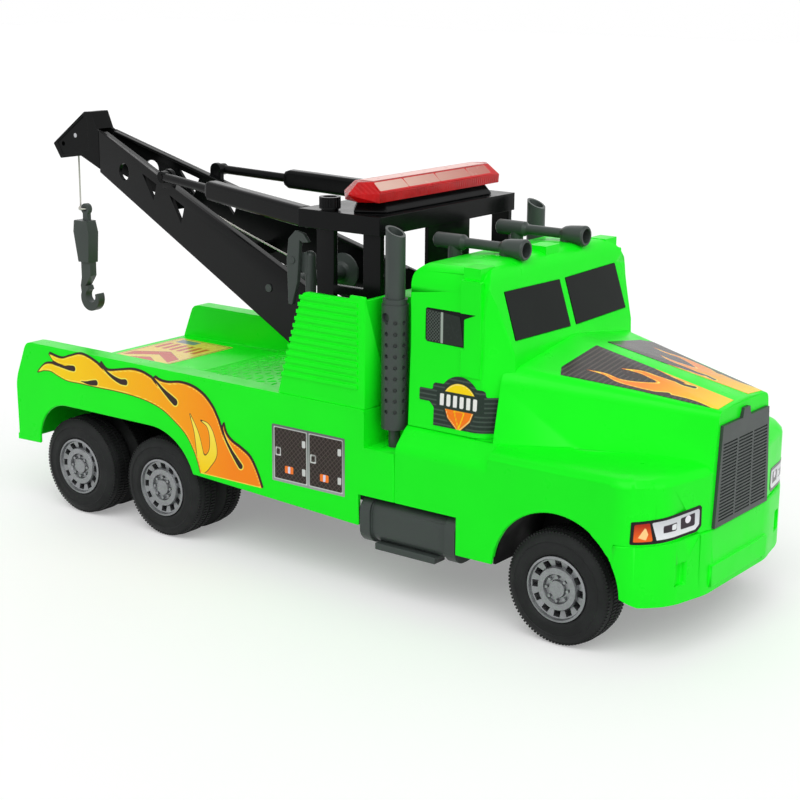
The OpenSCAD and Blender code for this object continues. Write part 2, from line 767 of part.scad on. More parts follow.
// ---------------------------------------------------------------- gantry

module post(x, z0, z1, s) {
  translate([x, s > 0 ? frame_y : -frame_y - frame_t, z0]) cube([post_w, frame_t, z1 - z0]);
}

// Two side frames and the panel that joins them behind the light bar
module gantry_frame() {
  foot_z = wall_top_z + seat;
  top_z = deck_top_z - deck_skin - seat;
  color(BLACK) difference() {
    union() {
      for (s = [-1, 1]) {
        post(post_rear_x, foot_z, top_z, s);
        post(post_front_x, foot_z, top_z, s);
        translate([post_rear_x, s > 0 ? frame_y : -frame_y - frame_t, housing_top_z - 3])
          cube([post_front_x - post_rear_x + cut, frame_t, 5]);
        translate([post_rear_x, s > 0 ? frame_y : -frame_y - frame_t, foot_z])
          cube([post_front_x - post_rear_x + cut, frame_t, 4]);
        // Boss on each side of the knob's shank
        translate([pivot_x, s * (frame_y - 0.5), top_z - 12]) cylinder(r = 3.4, h = 12);
      }
      translate([post_front_x + post_w - 2.6, -frame_y - cut, foot_z])
        cube([2.6, 2 * frame_y + 2 * cut, 34]);
      translate([post_front_x + post_w - 2.6, -21, foot_z]) cube([2.6, 42, top_z - foot_z]);
      for (s = [-1, 1]) on_side(s) bar_y(pivot_r + 3, pivot_x, pivot_z, frame_y, frame_y + frame_t + 2);
    }
    bar_y(pivot_r + fit, pivot_x, pivot_z, -half_w, half_w);
    for (s = [-1, 1]) translate([pivot_x, s * (frame_y - 0.5), top_z - 10])
      cylinder(r = knob_pin_r + fit, h = 20);
  }
}

module gantry_platform() {
  len = platform_x1 - platform_x0;
  ear_y = 4.2;
  color(BLACK) difference() {
    union() {
      difference() {
        translate([platform_x0, -deck_half_w, deck_z0]) cube([len, 2 * deck_half_w, deck_h]);
        translate([platform_x0 + deck_skin, -deck_half_w + deck_skin - 0.6, deck_z0 - cut])
          cube([len - deck_skin - 0.6, 2 * (deck_half_w - deck_skin + 0.6), deck_h - deck_skin + cut]);
      }
      // Ears and pins that hold the struts' forks
      for (s = [-1, 1], e = [-1, 1]) on_side(s)
        translate([platform_x0 + cut, strut_y + e * (ear_y + 1) - 1, deck_z0]) cube([8, 2, deck_h - cut]);
      for (s = [-1, 1]) on_side(s)
        bar_y(strut_pin_r, strut_pin_x, strut_z, strut_y - ear_y - cut, strut_y + ear_y + cut);
    }
    for (s = [-1, 1]) on_side(s) {
      translate([pivot_x, frame_y - 0.5, deck_z0]) cylinder(r = knob_pin_r + fit, h = 2 * deck_h);
      translate([platform_x0 - cut, strut_y - ear_y, deck_z0 - cut])
        cube([deck_skin + 2 * cut, 2 * ear_y, deck_h - deck_skin + cut]);
    }
  }
}

// Knurled knob whose shank runs down into the gantry's boss
module platform_knob(s) {
  teeth = 20;
  color(BLACK) translate([pivot_x, s * (frame_y - 0.5), deck_top_z + seat]) difference() {
    union() {
      cylinder(r = knob_r - 1.2, h = 1.2);
      translate([0, 0, 1]) cylinder(r = knob_r, h = 6.6);
      translate([0, 0, -deck_skin - 9]) cylinder(r = knob_pin_r, h = deck_skin + 9.5);
    }
    for (i = [0 : teeth - 1]) rotate([0, 0, i * 360 / teeth])
      translate([knob_r + 0.35, 0, 1.8]) cylinder(r = 0.8, h = 5, $fn = 12);
    translate([0, 0, 6.9]) cylinder(r = knob_r - 2.2, h = 1);
  }
}

module light_bar_base() {
  len = 24;
  foot_z = deck_top_z + seat;
  color(BLACK) translate([bar_x, 0, 0]) hull() {
    translate([0, 0, foot_z]) linear_extrude(1)
      polygon([[-len / 2, -52], [-4, -62], [len / 2, -52], [len / 2, 52], [-4, 62], [-len / 2, 52]]);
    translate([0, 0, bar_z - seat - 1]) linear_extrude(1)
      polygon([[-len / 2 + 2, -50], [-4, -58], [len / 2 - 4, -50], [len / 2 - 4, 50], [-4, 58],
        [-len / 2 + 2, 50]]);
  }
}

// Red lens, a low hexagonal prism with pointed ends
module light_bar_lens() {
  w = bar_half_w;
  color([0.9, 0.05, 0.05]) translate([bar_x, 0, 0]) hull() {
    translate([0, 0, bar_z]) linear_extrude(0.1)
      polygon([[-12.5, -w], [0, -w - 5], [12.2, -w], [12.2, w], [0, w + 5], [-12.5, w]]);
    translate([0, 0, bar_z + 5]) linear_extrude(0.1)
      polygon([[-13, -w], [0, -w - 13], [12.6, -w], [12.6, w], [0, w + 13], [-13, w]]);
    translate([0, 0, bar_z + 11]) linear_extrude(0.1)
      polygon([[-7, -w + 2], [0, -w - 4], [5.5, -w + 2], [5.5, w - 2], [0, w + 4], [-7, w - 2]]);
  }
}

// ---------------------------------------------------------------- boom

// Runs along a side plate: local x from the tip, outer face at y = 0
module along_plate(s) {
  on_side(s) translate([tip_x, tip_half_w, 0]) rotate([0, 0, plan_angle]) children();
}

// Outline of a side plate in its own plane, x from the tip
module plate_outline() {
  k = 1 / cos(plan_angle);
  run = boom_run * k;
  top = tip_top_z;
  foot = tip_top_z - tip_h;
  polygon([[0, foot], [0, top], [run - 8, top - top_slope * (run - 8) / k],
    [run + 10, pivot_z + 10], [run + 10, pivot_z - 8], [run - 4, pivot_z - base_r],
    [run - 20, foot - bottom_slope * (run - 30) / k]]);
  translate([run, pivot_z]) circle(base_r);
}

module plate_holes() {
  k = 1 / cos(plan_angle);
  // Round hole, then a row of triangles
  translate([29 * k, 216]) circle(5.6);
  polygon([[50 * k, 217], [66 * k, 211.5], [62 * k, 200.5]]);
  polygon([[80 * k, 206], [96 * k, 200.2], [92 * k, 189]]);
}

module boom_plate(s) {
  k = 1 / cos(plan_angle);
  run = boom_run * k;
  color(BLACK) difference() {
    union() {
      along_plate(s) side_slab(-plate_t, 0) plate_outline();
      // Top flange, turned inwards
      along_plate(s) side_slab(-flange_w, 0) polygon([[2, tip_top_z - 1.8 - 2 * top_slope],
        [2, tip_top_z - 2 * top_slope], [run - 26, tip_top_z - top_slope * (run - 26) / k],
        [run - 26, tip_top_z - 1.8 - top_slope * (run - 26) / k]]);
      // Lug that carries the strut's rod
      on_side(s) bar_y(lug_r, lug_x, lug_z, lug_y - 6.4, lug_y - 3.2);
      on_side(s) bar_y(1.8, lug_x, lug_z, lug_y - 4, lug_y + 3.4);
      on_side(s) translate([lug_x - lug_r, lug_y - 6.4, lug_z - 8]) cube([2 * lug_r, 3.2, 8]);
      // Hub round the pivot pin
      on_side(s) bar_y(base_r - 4, pivot_x, pivot_z, boom_half_w - plate_t - 2, frame_y - peg_gap);
    }
    along_plate(s) side_slab(-plate_t - cut, cut) plate_holes();
    bar_y(pivot_r + fit, pivot_x, pivot_z, -half_w, half_w);
    bar_y(shaft_r + fit, drum_x, drum_z, -half_w, half_w);
  }
}

// Cross-pieces that hold the side plates apart
module boom_brace() {
  color(BLACK) for (b = [[60, 4.5], [120, 4.5], [196, 5]]) {
    x = tip_x + b[0];
    half = tip_half_w + (boom_half_w - tip_half_w) * b[0] / boom_run - plate_t - 0.9;
    z = tip_top_z - tip_h - bottom_slope * b[0] + 6;
    translate([x, -half, z]) cube([b[1], 2 * half, 8]);
  }
}

module head_outline() {
  polygon([[-262.8, 229.6], [-231.5, 252.6], [-225, 253], [-220, 241.6], [tip_x, tip_top_z - 0.2],
    [tip_x, tip_top_z - tip_h + 2], [-236, 222.6], [-256, 219.6]]);
}

// Boom head: two cheeks, a top web and a rear web round the roller
module boom_head() {
  in_y = head_half_w - head_t;
  slot = 6.6;
  color(BLACK) difference() {
    side_slab(-head_half_w, head_half_w) head_outline();
    // Roller's slot, open at the bottom and at the back
    side_slab(-slot / 2, slot / 2) polygon([[-270, 200], [-270, 222], [-252, 243], [-234, 247],
      [-229, 240], [-229, 210], [-240, 200]]);
    side_slab(-in_y, in_y) polygon([[-233, 246], [-228, 244], [-200, 236], [-200, 218], [-226, 224]]);
    bar_y(head_pin_r + fit, roller_x, roller_z, -half_w, half_w);
    bar_y(1.6, -253.5, 229.6, -half_w, half_w);
    // Dished cheeks
    for (s = [-1, 1]) on_side(s) side_slab(head_half_w - 0.8, head_half_w + cut)
      polygon([[-259, 230], [-232, 249.6], [-229, 249], [-228, 227], [-238, 225], [-254.6, 222.4]]);
  }
}

module boom_pivot_pin() {
  color(STEEL) bar_y(pivot_r, pivot_x, pivot_z, -frame_y - frame_t - 2, frame_y + frame_t + 2);
}

module tip_roller() {
  half = 2.9;
  color(BLACK) translate([roller_x, 0, roller_z]) rotate([90, 0, 0]) difference() {
    rotate_extrude() polygon([[0, -half], [roller_r + 1.4, -half], [roller_r, -0.9], [roller_r, 0.9],
      [roller_r + 1.4, half], [0, half]]);
    cylinder(r = head_pin_r + fit, h = 20, center = true);
  }
}

module tip_roller_pin() {
  color(STEEL) bar_y(head_pin_r, roller_x, roller_z, -head_half_w + 0.9, head_half_w - 0.9);
}

// ---------------------------------------------------------------- winch

module winch_drum() {
  w = drum_half_w;
  color(GREY) translate([drum_x, 0, drum_z]) rotate([90, 0, 0]) difference() {
    rotate_extrude() polygon([[0, -w], [drum_flange_r - 1, -w], [drum_flange_r, -w + 1],
      [drum_flange_r, -w + drum_flange_t], [drum_core_r + 2, -w + drum_flange_t + 1.6],
      [drum_core_r, -w + drum_flange_t + 3], [drum_core_r, w - drum_flange_t - 3],
      [drum_core_r + 2, w - drum_flange_t - 1.6], [drum_flange_r, w - drum_flange_t],
      [drum_flange_r, w - 1], [drum_flange_r - 1, w], [0, w]]);
    cylinder(r = shaft_r, h = 4 * w, center = true);
  }
}

// Shaft through the drum, with its crank on the truck's left
module winch_crank() {
  near_y = -tip_half_w - (boom_half_w - tip_half_w) * (drum_x - tip_x) / boom_run - 1;
  arm_y = 48;
  color(GREY) {
    bar_y(shaft_r, drum_x, drum_z, near_y, arm_y + 2);
    side_slab(arm_y, arm_y + 3.4) {
      translate([drum_x, drum_z]) circle(5);
      translate([drum_x, drum_z - crank_arm]) circle(4);
      translate([drum_x - 3, drum_z - crank_arm]) square([6, crank_arm]);
    }
    bar_y(3, drum_x, drum_z - crank_arm, arm_y + 3, arm_y + 13);
  }
}

// Upright that carries the lock lever beside the boom's foot
module lever_post() {
  color(GREY) {
    translate([post_x, -post_y, wall_top_z + seat]) {
      cylinder(r = post_r, h = 80 - post_r);
      translate([0, 0, 80 - post_r]) sphere(post_r);
    }
    side_slab(-lever_y, -lever_y + 2.6)
      polygon([[post_x, 190], [post_x, 176], [lever_x, 180], [lever_x - 1, 187]]);
    bar_y(lever_pin_r, lever_x, lever_z, -lever_y - lever_t - 0.8, -lever_y + 1);
  }
}

// Hand lever: thumb cap over the pivot and a long tail that locks the drum
module lock_lever() {
  y1 = -lever_y - 0.25;
  color(GREY) difference() {
    side_slab(y1 - lever_t, y1)
      polygon([[lever_x - 4.6, lever_z], [lever_x - 3, 197], [lever_x + 2, 202], [lever_x + 8, 201],
        [lever_x + 12, 196], [lever_x + 8, 195.4], [lever_x + 5.4, 196.6], [lever_x + 4.6, lever_z],
        [lever_x + 3.6, 172], [lever_x - 0.5, 158], [lever_x - 3.5, 158], [lever_x - 4, 172]]);
    bar_y(lever_pin_r + fit, lever_x, lever_z, -half_w, half_w);
  }
}

// ---------------------------------------------------------------- struts

// Runs along a strut: local x from the lug on the boom to the platform's pin
module along_strut(s) {
  on_side(s) translate([lug_x, lug_y, lug_z]) rotate([0, strut_dip, strut_turn]) children();
}

module strut_rod(s) {
  color(BLACK) along_strut(s) difference() {
    union() {
      rotate([90, 0, -strut_turn]) cylinder(r = eye_r, h = 5.2, center = true);
      translate([1, 0, 0]) rotate([0, 90, 0]) cylinder(r = rod_r, h = strut_len - 42);
    }
    rotate([90, 0, -strut_turn]) cylinder(r = 1.8 + fit, h = 20, center = true);
  }
}

module strut_sleeve(s) {
  len = strut_len - sleeve_start - 11;
  color(BLACK) along_strut(s) difference() {
    union() {
      translate([sleeve_start, 0, 0]) hull() {
        rotate([90, 0, 90]) linear_extrude(0.1) rounded_section(sleeve_w - 3, sleeve_h - 3);
        translate([4, 0, 0]) rotate([90, 0, 90])
          linear_extrude(len - 4) rounded_section(sleeve_w, sleeve_h);
      }
      translate([sleeve_start + len - cut, -1.8, -3.8]) cube([11 + cut + 3, 3.6, 5.8]);
    }
    translate([sleeve_start - cut, 0, 0]) rotate([0, 90, 0]) cylinder(r = rod_r + 0.15, h = len - 8);
    // Fork round the platform's pin, with play for the strut's swing
    translate([strut_len - 4, -5, -strut_pin_r - 1.7]) cube([12, 10, 2 * strut_pin_r + 2]);
  }
}

module rounded_section(w, h) {
  r = 2.4;
  for (x = [-1, 1], y = [-1, 1]) translate([x * (w / 2 - r), y * (h / 2 - r)]) circle(r, $fn = 16);
}

// ---------------------------------------------------------------- tow gear

// String from the drum, over the boom, to the roller at the tip
boom_string_path = [[-37, 0, 166.2], [-60, 0, 173], [-100, 0, 185.5], [-140, 0, 200], [-180, 0, 215.5],
  [-210, 0, 228.5], [-226, 0, 236.6], [-236, 0, 240.8], [-241, 0, 241.4], [-244.5, 0, 240.6],
  [-246.5, 0, 238.6], [-246.9, 0, 236.4]];

function ring(p, q, r, n) = let(d = (q - p) / norm(q - p), u = [0, 1, 0], v = cross(d, u))
  [for (i = [0 : n - 1]) p + r * (cos(360 * i / n) * u + sin(360 * i / n) * v)];

// Round tube swept along a route that stays in the X-Z plane
module tube(path, r, n = 8) {
  m = len(path);
  points = [for (i = [0 : m - 1]) each ring(path[i] , path[i] + (i == 0 ? path[1] - path[0]
    : i == m - 1 ? path[i] - path[i - 1] : path[i + 1] - path[i - 1]), r, n)];
  sides = [for (i = [0 : m - 2], k = [0 : n - 1])
    [(i + 1) * n + k, (i + 1) * n + (k + 1) % n, i * n + (k + 1) % n, i * n + k]];
  ends = [[for (k = [0 : n - 1]) k], [for (k = [n - 1 : -1 : 0]) (m - 1) * n + k]];
  polyhedron(points, concat(sides, ends), convexity = 4);
}

module boom_string() {
  color("white") tube(boom_string_path, string_r);
}

module drop_string() {
  foot_z = knot_z + knot_r - 0.2;
  color("white") translate([drop_x, 0, foot_z]) cylinder(r = string_r, h = roller_z - foot_z);
}

// Loop through the hook's eye, tied off in a knot
module string_knot() {
  color("white") difference() {
    union() {
      translate([drop_x, 0, knot_z]) sphere(knot_r);
      translate([eye_x - loop_r, 0, knot_z]) rotate_extrude() translate([loop_r, 0])
        circle(string_r, $fn = 16);
    }
    translate([drop_x - 4, -4, knot_z + knot_r - 0.2]) cube([8, 8, 4]);
  }
}

// Tow hook: eye, tapered block, shank and an open hook towards the front
module tow_hook() {
  x = eye_x - 0.6;
  block_top = knot_z - 8;
  block_h = 29;
  foot = knot_z - hook_h;
  r = 9;
  cz = foot + r;
  color(GREY) {
    translate([eye_x, 0, knot_z]) rotate([90, 0, 0]) difference() {
      cylinder(r = eye_out_r, h = 3.4, center = true);
      cylinder(r = eye_in_r, h = 10, center = true);
    }
    side_slab(-1.7, 1.7) translate([eye_x - 2.6, block_top - 1]) square([5.2, 9 - eye_in_r - 0.7]);
    side_slab(-hook_t / 2 - 0.6, hook_t / 2 + 0.6) polygon([[x - 8, block_top], [x + 4.5, block_top],
      [x + 6.8, block_top - 8], [x + 5.4, block_top - block_h], [x - 5, block_top - block_h],
      [x - 9, block_top - 8]]);
    side_slab(-hook_t / 2 + 1, hook_t / 2 - 1) {
      polygon([[x - 4.2, block_top - block_h + 1], [x + 5.2, block_top - block_h + 1], [x + 5.2, cz + 16],
        [x - 0.5, cz + 8], [x - 4.6, cz + 2], [x - 5.4, cz + 8], [x - 4, cz + 14]]);
      intersection() {
        difference() {
          translate([x + 3.6, cz]) circle(r);
          translate([x + 4.4, cz + 1.6]) circle(4.6);
        }
        polygon([[x - 6, cz + 8], [x - 6, foot - 1], [x + 14, foot - 1], [x + 14, cz + 5],
          [x + 4, cz + 1.6], [x + 1, cz + 9]]);
      }
    }
  }
}

// ---------------------------------------------------------------- wheels

module axle(x) {
  half = wheel_y - 4.4 - seat;
  color(STEEL) bar_y(axle_r, x, wheel_r, -half, half);
}

// Rim with a ring of windows round a stepped centre and a hub cap
module rim(x, w, s) {
  windows = 12;
  face = wheel_y - 1;
  color([0.7, 0.72, 0.74]) translate([x, s * face, wheel_r])
    rotate([s > 0 ? -90 : 90, 0, 0]) difference() {
      rotate_extrude() polygon([[axle_r, -w + 2], [7, -w + 2], [7, -8], [rim_r - 2.4, -8],
        [rim_r - 2.4, -w + 2], [rim_r, -w + 2], [rim_r, 0], [rim_r - 1.2, 0.4], [rim_r - 1.8, -1.4],
        [rim_r * 0.69, -2.4], [rim_r * 0.64, -0.6], [rim_r * 0.46, -0.6], [rim_r * 0.42, -2.4],
        [rim_r * 0.28, -2.4], [rim_r * 0.25, -0.8], [0, -0.8], [0, -3.4], [axle_r, -3.4]]);
      for (i = [0 : windows - 1]) rotate([0, 0, i * 360 / windows])
        translate([rim_r * 0.67, -2, -10]) cube([rim_r * 0.195, 4, 12]);
    }
}

// Quarter round of a tyre's shoulder, as points from angle a0 to a1
function shoulder(cx, cy, r, a0, a1, n = 6) =
  [for (i = [0 : n]) let(a = a0 + (a1 - a0) * i / n) [cx + r * cos(a), cy + r * sin(a)]];

// Tyre with rounded shoulders; a twin tyre has a groove round its middle
module tyre(x, w, s, twin) {
  r = wheel_r;
  sr = 4.5;
  groove = twin ? [[r, -w / 2 + 4.5], [r - 5, -w / 2], [r, -w / 2 - 4.5]] : [];
  color(BLACK) translate([x, s * wheel_y, wheel_r]) rotate([s > 0 ? -90 : 90, 0, 0])
    rotate_extrude($fn = 96) polygon(concat(
      [[rim_r, -w + 1], [rim_r, -1.4], [rim_r + 2.5, 0], [rim_r + 5, -0.4]],
      shoulder(r - sr, -sr, sr, 90, 0), groove, shoulder(r - sr, -w + sr, sr, 0, -90),
      [[rim_r + 5, -w + 0.4], [rim_r + 2.5, -w]]));
}

// ---------------------------------------------------------------- the toy

chassis();
rear_bed();
winch_housing();
hood_shell();
cab_shell();
front_bumper();
grille();
windscreen(-1);  // windscreen_r
windscreen(1);  // windscreen_l
side_window(-1);  // side_window_r
side_window(1);  // side_window_l
exhaust_stack(-1);  // exhaust_stack_r
exhaust_stack(1);  // exhaust_stack_l
horn(-1);  // horn_r
horn(1);  // horn_l
fuel_tank(-1);  // fuel_tank_r
fuel_tank(1);  // fuel_tank_l
gantry_frame();
gantry_platform();
platform_knob(-1);  // platform_knob_r
platform_knob(1);  // platform_knob_l
light_bar_base();
light_bar_lens();
boom_plate(-1);  // boom_plate_r
boom_plate(1);  // boom_plate_l
boom_head();
boom_brace();
boom_pivot_pin();
tip_roller();
tip_roller_pin();
winch_drum();
winch_crank();
lever_post();
lock_lever();
strut_sleeve(-1);  // strut_sleeve_r
strut_sleeve(1);  // strut_sleeve_l
strut_rod(-1);  // strut_rod_r
strut_rod(1);  // strut_rod_l
boom_string();
drop_string();
string_knot();
tow_hook();
axle(front_axle_x);  // front_axle
axle(mid_axle_x);  // mid_axle
axle(rear_axle_x);  // rear_axle
rim(front_axle_x, front_tyre_w, -1);  // front_rim_r
rim(front_axle_x, front_tyre_w, 1);  // front_rim_l
tyre(front_axle_x, front_tyre_w, -1, false);  // front_tyre_r
tyre(front_axle_x, front_tyre_w, 1, false);  // front_tyre_l
rim(mid_axle_x, rear_tyre_w, -1);  // mid_rim_r
rim(mid_axle_x, rear_tyre_w, 1);  // mid_rim_l
tyre(mid_axle_x, rear_tyre_w, -1, true);  // mid_tyre_r
tyre(mid_axle_x, rear_tyre_w, 1, true);  // mid_tyre_l
rim(rear_axle_x, rear_tyre_w, -1);  // rear_rim_r
rim(rear_axle_x, rear_tyre_w, 1);  // rear_rim_l
tyre(rear_axle_x, rear_tyre_w, -1, true);  // rear_tyre_r
tyre(rear_axle_x, rear_tyre_w, 1, true);  // rear_tyre_l
body_screws();
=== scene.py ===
"""Looks of the toy tow truck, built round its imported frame.

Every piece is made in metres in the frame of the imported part: +X to the front bumper, +Y to the truck's
left and +Z up. The sizes written in millimetres are turned into metres where a mesh is made.
"""

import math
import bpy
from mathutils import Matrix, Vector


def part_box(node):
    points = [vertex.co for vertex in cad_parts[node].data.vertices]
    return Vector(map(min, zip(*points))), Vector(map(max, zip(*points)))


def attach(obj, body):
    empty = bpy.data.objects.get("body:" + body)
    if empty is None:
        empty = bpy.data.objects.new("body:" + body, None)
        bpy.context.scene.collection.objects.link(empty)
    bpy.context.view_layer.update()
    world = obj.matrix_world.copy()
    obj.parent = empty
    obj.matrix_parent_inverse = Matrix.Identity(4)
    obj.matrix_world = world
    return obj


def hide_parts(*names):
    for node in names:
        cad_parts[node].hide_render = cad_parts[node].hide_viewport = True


bl_info = {
    "name": "Toy tow truck",
    "version": (1, 0, 0),
    "blender": (4, 5, 0),
    "location": "View3D > Sidebar > Tow truck",
    "description": "Builds the truck's moulded shells, wheels, stickers, strings and studio",
    "category": "Object",
}

import bmesh
import bpy
import numpy as np
from bpy.props import FloatProperty, FloatVectorProperty, IntProperty, PointerProperty
from bpy.types import Operator, Panel, PropertyGroup
from mathutils import Matrix, Vector
from mathutils.bvhtree import BVHTree
from mathutils.geometry import intersect_point_line

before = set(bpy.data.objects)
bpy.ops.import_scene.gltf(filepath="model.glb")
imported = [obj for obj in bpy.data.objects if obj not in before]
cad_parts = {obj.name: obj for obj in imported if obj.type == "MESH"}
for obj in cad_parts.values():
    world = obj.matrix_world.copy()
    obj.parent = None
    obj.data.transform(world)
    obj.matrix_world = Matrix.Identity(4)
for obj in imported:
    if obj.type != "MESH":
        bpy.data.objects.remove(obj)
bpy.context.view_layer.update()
MM = 0.001
GLOSS = "Specular IOR Level"
SIDES = {"r": -1, "l": 1}
AXLES = ("front", "mid", "rear")
GREEN_SHELLS = ("rear_bed", "winch_housing", "hood_shell", "cab_shell", "front_bumper")

# Rounding: faces nearer in slope than FLAT are one face, and edges over SHARP are rounded. A rounding takes
# ROOM_SHARE of the room beside its edge, and is left out under LEAST_ROUNDING of its full width. It may lie
# STRAY_SHARE of that width off the moulding. A face that points inwards counts from SPECK square metres up.
FLAT, SHARP = math.radians(0.3), math.radians(28)
ROOM_SHARE, LEAST_ROUNDING, ROUNDING_TRIES = 0.42, 0.25, 12
STRAY_SHARE, SPECK = 0.45, 2e-8

# Tyres: steps round, each sidewall's (height over the rim, depth) and shoulder's (drop under the tread, depth)
# in mm, how far the shoulder's lugs lie lower, in metres, and the share of its space that a lug fills
TYRE_STEPS = 96
SIDEWALL = ((0, 2.4), (0.9, 1.2), (2.2, 0.5), (3.2, 0.35), (4.2, 0.7), (7.6, 0.9), (8.1, 0.5), (8.7, 0.6))
SHOULDER = ((2.6, 1.7), (0.9, 3.1), (0.1, 5.0), (0, 6.5))
SHOULDER_DROP, LUG_SHARE = 0.0006, 0.55
UPRIGHT = (math.pi / 2, 0, 0)

# Sheets: softness of an ink's edge and of the joints between flames in mm, and how far a headlamp turns
INK_BLUR, MELT = 0.12, 3.0
LAMP_HEADING = math.radians(30)

# String: its way over the boom in mm, and the lengths of the two hanging pieces in metres
BOOM_STRING = [
    (-37, 0, 166.2), (-60, 0, 173), (-100, 0, 185.5), (-140, 0, 200), (-180, 0, 215.5), (-210, 0, 228.5),
    (-226, 0, 236.6), (-236, 0, 240.8), (-241, 0, 241.4), (-244.5, 0, 240.6), (-246.5, 0, 238.6),
    (-246.9, 0, 236.4),
]
UPPER_STRING, LOWER_STRING = 0.03, 0.0355
STRING_SIDES = 12

# Lamps by name, place, strength and width in degrees; light that the sky throws, and the floor's own when seen
SUNS = (("Key", (0.3, -1, 1.2), 1.3, 50), ("Fill", (1, -0.2, 0.6), 0.9, 60), ("Rear", (-0.8, 0.9, 1.0), 0.35, 60))
SKY_LIGHT, FLOOR_LIFT = 0.42, 0.27


# ---- settings


def tint(name, description, value):
    return FloatVectorProperty(name=name, description=description, default=value, subtype="COLOR", min=0, max=1)


def size(name, description, value, low, high):
    return FloatProperty(
        name=name, description=description, default=value, min=low, max=high, subtype="DISTANCE", unit="LENGTH"
    )


class TowPaint(PropertyGroup):
    """Colours of the moulded plastics and of the printed sheets."""

    green: tint("Green", "Bright green of the body shells", (0.006, 0.93, 0.012))
    black: tint("Black", "Glossy black of the crane and the chassis", (0.0035, 0.0038, 0.004))
    grey: tint("Grey", "Dark grey of the stacks and tanks", (0.05, 0.062, 0.057))
    silver: tint("Silver", "Silver plating of the rims", (0.3, 0.31, 0.32))
    tyre: tint("Tyre", "Soft black of the tyres", (0.014, 0.015, 0.015))
    glass: tint("Window", "Black of the windows", (0.004, 0.006, 0.005))
    lens: tint("Lens", "Red of the light bar", (0.72, 0.004, 0.006))
    steel: tint("Steel", "Bare steel of axles, pins and screws", (0.55, 0.56, 0.58))
    string: tint("String", "Natural white of the tow string", (0.78, 0.76, 0.7))
    flame_root: tint("Flame root", "Orange where a flame starts", (1.0, 0.25, 0.002))
    flame_tip: tint("Flame tip", "Yellow at the flame's tips", (1.0, 0.68, 0.0))
    flame_edge: tint("Flame edge", "Pale line inside each flame", (1.0, 0.86, 0.1))
    ink: tint("Ink", "Dark brown ink round the flames", (0.028, 0.012, 0.01))


def count(name, description, value, low, high):
    return IntProperty(name=name, description=description, default=value, min=low, max=high)


class TowShell(PropertyGroup):
    """Rounding of the moulded shells' edges."""

    edge: size("Edge", "Width of the rounded edges of the green shells", 0.0016, 0.0002, 0.003)
    fine_edge: size("Fine edge", "Width of the rounded edges of small parts", 0.0005, 0.0001, 0.001)
    steps: count("Steps", "Number of faces across a rounded edge", 3, 2, 5)


class TowWheels(PropertyGroup):
    """Tread and hub details of the six wheels."""

    lugs: count("Tread lugs", "Lugs round each shoulder of a tyre", 96, 40, 120)
    lug_depth: size("Lug depth", "Height of a tread lug", 0.0005, 0.0003, 0.002)
    nuts: count("Wheel nuts", "Nuts round each hub", 8, 5, 12)


class TowStickers(PropertyGroup):
    """Thickness and fineness of the printed sheets."""

    lift: size("Lift", "Height of a printed face over its shell", 0.0002, 0.0001, 0.0005)
    thick: size("Thickness", "Thickness of a printed sheet", 0.00012, 0.00005, 0.0004)
    step: FloatProperty(name="Step", description="Spacing of a sheet's mesh, in mm", default=0.8, min=0.4, max=2)


def heading(name, description, degrees):
    return FloatProperty(name=name, description=description, default=math.radians(degrees), subtype="ANGLE")


class TowStage(PropertyGroup):
    """Camera, lamps and floor."""

    place: FloatVectorProperty(
        name="Camera", description="Place of the camera", default=(0.651, -0.8224, 0.3588), subtype="TRANSLATION",
        unit="LENGTH",
    )
    yaw: heading("Yaw", "Camera's heading", 127)
    pitch: heading("Pitch", "Camera's tilt", -14.5)
    roll: heading("Roll", "Camera's roll", 0.4)
    lens: FloatProperty(name="Lens", description="Focal length in mm", default=78.1, min=20, max=200)
    lamp: FloatProperty(name="Lamps", description="Strength of the soft lamps", default=1.0, min=0, max=4)


# ---- materials


def with_settings(made, settings):
    for key, value in settings.items():
        setattr(made, key, value)
    return made


def feed(tree, target, values):
    """Sets a node's sockets to values, or links them to other sockets."""
    for key, value in values.items():
        if isinstance(value, bpy.types.NodeSocket):
            tree.links.new(value, target.inputs[key])
        else:
            target.inputs[key].default_value = value


def node(tree, kind, values=None, **settings):
    """A node with its settings and its sockets; a kind that isn't a full name is a shader node's."""
    made = with_settings(tree.nodes.new(kind if "Node" in kind else "ShaderNode" + kind), settings)
    feed(tree, made, values or {})
    return made


def maths(tree, operation, first, second=0.0):
    return node(tree, "Math", {0: first, 1: second}, operation=operation).outputs[0]


def rgba(colour, share=1.0):
    return (*(part * share for part in colour), 1.0)


def as_colour(tree, place, value):
    """A colour, or the socket that a pattern builder makes."""
    return value(tree, place) if callable(value) else rgba(value)


def mixed(tree, share, first, second):
    return node(tree, "Mix", {0: share, 6: first, 7: second}, data_type="RGBA").outputs[2]


def noise(tree, place, scale, detail=2.0):
    return node(tree, "TexNoise", {"Vector": place, "Scale": scale, "Detail": detail}).outputs["Fac"]


def spread(tree, value, low, high, start=0.0, end=1.0):
    return node(
        tree, "MapRange", {"Value": value, "From Min": start, "From Max": end, "To Min": low, "To Max": high}
    ).outputs["Result"]


def wave_along(tree, place, direction, pitch):
    """Sine wave across an object, from -1 to 1, with the given pitch in millimetres."""
    run = node(tree, "VectorMath", {0: place, 1: direction}, operation="DOT_PRODUCT").outputs["Value"]
    return maths(tree, "SINE", maths(tree, "MULTIPLY", run, 2 * math.pi / (pitch * MM)))


def fresh_material(name):
    """A new material, its node tree and the place on the object that its textures follow."""
    material = bpy.data.materials.new(name)
    material.use_nodes = True
    tree = material.node_tree
    return material, tree, node(tree, "TexCoord").outputs["Object"]


